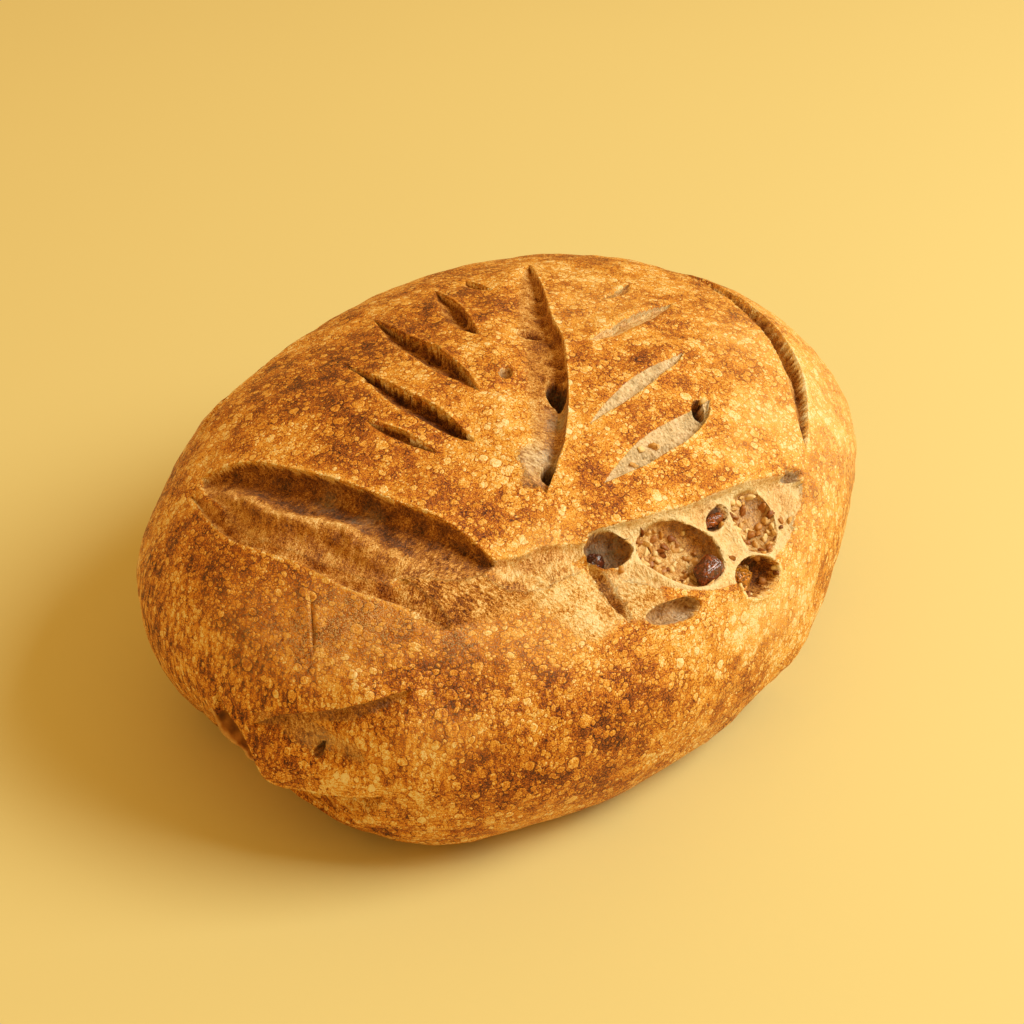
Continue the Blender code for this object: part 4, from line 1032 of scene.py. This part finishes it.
nutLook = {
    "pieces": {
        "walnut_large": dict(half=(7.0, 6.2, 5.2), turn=25, at=(-0.155, -0.663), seed=3, tint="#74300f"),
        "walnut_amber": dict(half=(5.0, 4.5, 4.5), turn=70, at=(-0.093, -0.765), seed=7, tint="#c98229"),
        "walnut_sliver": dict(half=(5.6, 2.5, 2.9), turn=-15, at=(-0.067, -0.583), seed=11, tint="#96460f"),
        "walnut_dark": dict(half=(4.8, 3.6, 3.4), turn=40, at=(-0.268, -0.444), seed=5, tint="#5a240d"),
    },
    "corners": 10, "cornerJitter": 0.45, "edgeRound": 0.35,  # mm
    "wrinkleSize": 1.9, "wrinkleHeight": 0.22,  # mm
}


def walnutSkin(name, tint):
    # Walnut kernel skin, roasted in its own oil: dark, wrinkled and glossy, with pale flecks painted on as highlights
    material, tree, shader = newMaterial(name)
    place = addNode(tree, "ShaderNodeTexCoord").outputs["Object"]
    base = linear(tint)
    dark = tuple(c * 0.3 for c in base[:3]) + (1,)
    highlightTone = tuple(min(1, c * 1.7 + extra) for c, extra in zip(base[:3], (0.04, 0.024, 0.01))) + (1,)
    veins = addNode(tree, "ShaderNodeTexNoise", {
        "Vector": place, "Scale": perMm(nutLook["wrinkleSize"]), "Detail": 3.0, "Distortion": 0.6})
    wrinkle = addNode(tree, "ShaderNodeMath", {0: veins, 1: 0.5}, operation="SUBTRACT")
    wrinkle = addNode(tree, "ShaderNodeMath", {0: wrinkle, 1: 0.0}, operation="ABSOLUTE")
    wrinkle = addNode(tree, "ShaderNodeMapRange", {"Value": wrinkle, "From Min": 0.0, "From Max": 0.1})
    low = addNode(tree, "ShaderNodeMix", {0: wrinkle, 6: dark, 7: base}, data_type="RGBA").outputs[2]
    # painted highlights: pale flecks scattered over the skin
    highlightFleck = addNode(tree, "ShaderNodeTexNoise", {"Vector": place, "Scale": perMm(1.4), "Detail": 2.0})
    highlightFleck = addNode(tree, "ShaderNodeMapRange", {"Value": highlightFleck, "From Min": 0.58, "From Max": 0.7})
    color = addNode(tree, "ShaderNodeMix", {0: highlightFleck, 6: low, 7: highlightTone}, data_type="RGBA").outputs[2]
    bump = addNode(tree, "ShaderNodeBump", {"Height": wrinkle, "Strength": 0.5, "Distance": 0.4 * mm})
    tree.links.new(color, shader.inputs["Base Color"])
    tree.links.new(bump.outputs[0], shader.inputs["Normal"])
    shader.inputs["Roughness"].default_value = 0.22
    shader.inputs["Coat Weight"].default_value = 0.6
    shader.inputs["Coat Roughness"].default_value = 0.06
    return material


def makeNut(node, nut):
    # the hull of a few jittered corners, its edges rounded off
    low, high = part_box(node)
    middle = (Vector(low) + Vector(high)) / 2
    normal = Vector(domeNormals(np.array([nut["at"]], float))[0])
    along = Vector((1, 0, 0))
    along = (along - normal * along.dot(normal)).normalized()
    side = normal.cross(along)
    turn = math.radians(nut["turn"])
    ways = (along * math.cos(turn) + side * math.sin(turn), side * math.cos(turn) - along * math.sin(turn), normal)
    bm = bmesh.new()
    count = nutLook["corners"]
    for k in range(count):
        z = 1 - (2 * k + 1) / count
        angle = k * math.pi * (3 - math.sqrt(5))
        corner = Vector((math.sqrt(1 - z * z) * math.cos(angle), math.sqrt(1 - z * z) * math.sin(angle), z))
        jitter = noise.noise_vector(corner * 2.3 + Vector((nut["seed"],) * 3))
        bm.verts.new((corner + jitter * nutLook["cornerJitter"]).normalized())
    bmesh.ops.convex_hull(bm, input=bm.verts[:])
    for v in bm.verts:
        v.co = sum((way * c * half * mm for way, c, half in zip(ways, v.co, nut["half"])), Vector())
    bmesh.ops.bevel(bm, geom=bm.edges[:], offset=nutLook["edgeRound"] * mm, segments=2, affect="EDGES")
    bmesh.ops.triangulate(bm, faces=bm.faces[:])
    for _ in range(3):
        longEdges = [e for e in bm.edges if e.calc_length() > 0.7 * mm]
        bmesh.ops.subdivide_edges(bm, edges=longEdges, cuts=1)
        bmesh.ops.triangulate(bm, faces=bm.faces[:])
    bmesh.ops.recalc_face_normals(bm, faces=bm.faces[:])
    for v in bm.verts:
        fold = abs(noise.noise(v.co / (nutLook["wrinkleSize"] * mm) / 1.6 + Vector((nut["seed"],) * 3)))
        v.co += v.normal * (fold - 0.3) * nutLook["wrinkleHeight"] * 2 * mm
    bmesh.ops.translate(bm, verts=bm.verts[:], vec=middle)
    mesh = bpy.data.meshes.new(node)
    bm.to_mesh(mesh)
    bm.free()
    mesh.shade_smooth()
    first, second = node.split("_")
    piece = first + second.capitalize()
    mesh.materials.append(walnutSkin(piece + "Skin", nut["tint"]))
    obj = newObject(piece, mesh)
    print(piece, len(mesh.polygons), "triangles")
    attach(obj, "root")
    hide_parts(node)


print("making the walnuts")
for node, nut in nutLook["pieces"].items():
    makeNut(node, nut)


# ---- nut and bran bits lying in the bubbles

bits = {"bit size": 3.8 * mm, "bits per square metre": 200000.0, "least gap": 1.5 * mm}


def branBits():
    # Broken nut meal and bran, toasted: matt, from pale amber to dark brown
    material, tree, shader = newMaterial("toastedNutMeal")
    tone = addNode(tree, "ShaderNodeAttribute", attribute_name="tone").outputs["Fac"]
    place = addNode(tree, "ShaderNodeTexCoord").outputs["Object"]
    grain = addNode(tree, "ShaderNodeTexNoise", {"Vector": place, "Scale": perMm(0.8), "Detail": 2.0})
    shade = addNode(tree, "ShaderNodeMath", {0: grain, 1: 0.4, 2: tone}, operation="MULTIPLY_ADD")
    color = addNode(tree, "ShaderNodeValToRGB", {"Fac": shade}, stops=(
        (0.1, "#5a2c10"), (0.35, "#9a5a22"), (0.7, "#cd9444"), (1.0, "#e9c88a")))
    bump = addNode(tree, "ShaderNodeBump", {"Height": grain, "Strength": 0.4, "Distance": 0.3 * mm})
    tree.links.new(color.outputs[0], shader.inputs["Base Color"])
    tree.links.new(bump.outputs[0], shader.inputs["Normal"])
    shader.inputs["Roughness"].default_value = 0.5
    return material


def bitsTree(material):
    tree, sizes = newTree("nutMealScatter", bits)
    size = sizes.outputs
    grit = addNode(tree, "GeometryNodeInputNamedAttribute", {"Name": "grit"}, data_type="FLOAT")
    spread = addNode(tree, "GeometryNodeDistributePointsOnFaces", {
        "Mesh": size["Geometry"], "Distance Min": size["least gap"],
        "Density Max": size["bits per square metre"], "Density Factor": grit, "Seed": 4},
        distribute_method="POISSON")
    tone = addNode(tree, "FunctionNodeRandomValue", {"Min": 0.0, "Max": 1.0, "Seed": 9}, data_type="FLOAT")
    toned = addNode(tree, "GeometryNodeStoreNamedAttribute", {
        "Geometry": spread, "Name": "tone", "Value": tone}, data_type="FLOAT", domain="POINT")
    half = addNode(tree, "ShaderNodeMath", {0: size["bit size"], 1: 0.5}, operation="MULTIPLY")
    lump = addNode(tree, "GeometryNodeMeshIcoSphere", {"Radius": half, "Subdivisions": 2})
    turn = addNode(tree, "FunctionNodeRandomValue", {"Min": (0.0, 0.0, 0.0), "Max": (6.28, 6.28, 6.28), "Seed": 2},
                   data_type="FLOAT_VECTOR")
    sized = addNode(tree, "FunctionNodeRandomValue", {"Min": (0.25, 0.25, 0.2), "Max": (1.2, 0.9, 0.7), "Seed": 6},
                    data_type="FLOAT_VECTOR")
    placed = addNode(tree, "GeometryNodeInstanceOnPoints", {
        "Points": toned, "Instance": lump, "Rotation": turn, "Scale": sized})
    real = addNode(tree, "GeometryNodeRealizeInstances", {"Geometry": placed})
    place = addNode(tree, "GeometryNodeInputPosition")
    jag = addNode(tree, "ShaderNodeTexNoise", {"Vector": place, "Scale": perMm(1.2), "Detail": 1.0})
    jag = addNode(tree, "ShaderNodeVectorMath", {0: jag.outputs["Color"], 1: (0.5, 0.5, 0.5)}, operation="SUBTRACT")
    jag = addNode(tree, "ShaderNodeVectorMath", {0: jag, "Scale": 2.2 * mm}, operation="SCALE")
    moved = addNode(tree, "GeometryNodeSetPosition", {"Geometry": real, "Offset": jag})
    endTree(tree, moved, material)
    return tree


print("scattering the nut meal")
nutMeal = newObject("nutMeal", crust.data.copy())
useTree(nutMeal, bitsTree(branBits()), bits)
nutMeal.data.shade_smooth()
print("nut meal:", len(nutMeal.data.polygons), "triangles")
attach(nutMeal, "root")


# ---- floor, light and camera

studio = {
    "floor": "#dacb8c", "floorSize": 6.0,
    "keyFrom": (0.62, -1.12, 1.25), "keySize": 0.9, "keyPower": 31.0, "keyColor": (0.93, 0.98, 0.89),
    "fillColor": (1.0, 0.6, 0.17), "fillStrength": 0.78,
    "lookAt": (-0.002, -0.0015, 0.05), "heading": 35, "down": 35, "away": 0.68, "lens": 70.3,
}


def matteFloor():
    # Painted board: even and matt
    material, tree, shader = newMaterial("mattePaintedBoard")
    place = addNode(tree, "ShaderNodeTexCoord").outputs["Object"]
    cloud = addNode(tree, "ShaderNodeTexNoise", {"Vector": place, "Scale": perMm(400), "Detail": 2.0})
    tint = tuple(c * 0.96 for c in linear(studio["floor"])[:3]) + (1,)
    color = addNode(tree, "ShaderNodeMix", {0: cloud, 6: tint, 7: linear(studio["floor"])}, data_type="RGBA")
    tree.links.new(color.outputs[2], shader.inputs["Base Color"])
    shader.inputs["Roughness"].default_value = 0.8
    return material


def makeStudio():
    half = studio["floorSize"] / 2
    mesh = bpy.data.meshes.new("floor")
    mesh.from_pydata([(-half, -half, 0), (half, -half, 0), (half, half, 0), (-half, half, 0)], [], [(0, 1, 2, 3)])
    mesh.materials.append(matteFloor())
    floor = newObject("floor", mesh)
    target = Vector(studio["lookAt"])
    key = bpy.data.lights.new("key", "AREA")
    key.energy, key.size, key.color = studio["keyPower"], studio["keySize"], studio["keyColor"]
    keyObject = bpy.data.objects.new("key", key)
    keyObject.location = studio["keyFrom"]
    keyObject.rotation_euler = (target - keyObject.location).to_track_quat("-Z", "Y").to_euler()
    bpy.context.scene.collection.objects.link(keyObject)
    world = bpy.data.worlds.new("studio")
    world.use_nodes = True
    world.node_tree.nodes["Background"].inputs["Color"].default_value = (*studio["fillColor"], 1)
    world.node_tree.nodes["Background"].inputs["Strength"].default_value = studio["fillStrength"]
    bpy.context.scene.world = world
    heading, down = math.radians(studio["heading"]), math.radians(studio["down"])
    forward = Vector((math.cos(down) * math.cos(heading), math.cos(down) * math.sin(heading), -math.sin(down)))
    camera = bpy.data.cameras.new("camera")
    camera.lens, camera.sensor_width, camera.clip_start = studio["lens"], 36, 0.01
    cameraObject = bpy.data.objects.new("camera", camera)
    cameraObject.location = target - forward * studio["away"]
    cameraObject.rotation_euler = forward.to_track_quat("-Z", "Y").to_euler()
    bpy.context.scene.collection.objects.link(cameraObject)
    bpy.context.scene.camera = cameraObject
    bpy.context.scene.view_settings.view_transform = "Standard"


print("setting the studio")
makeStudio()
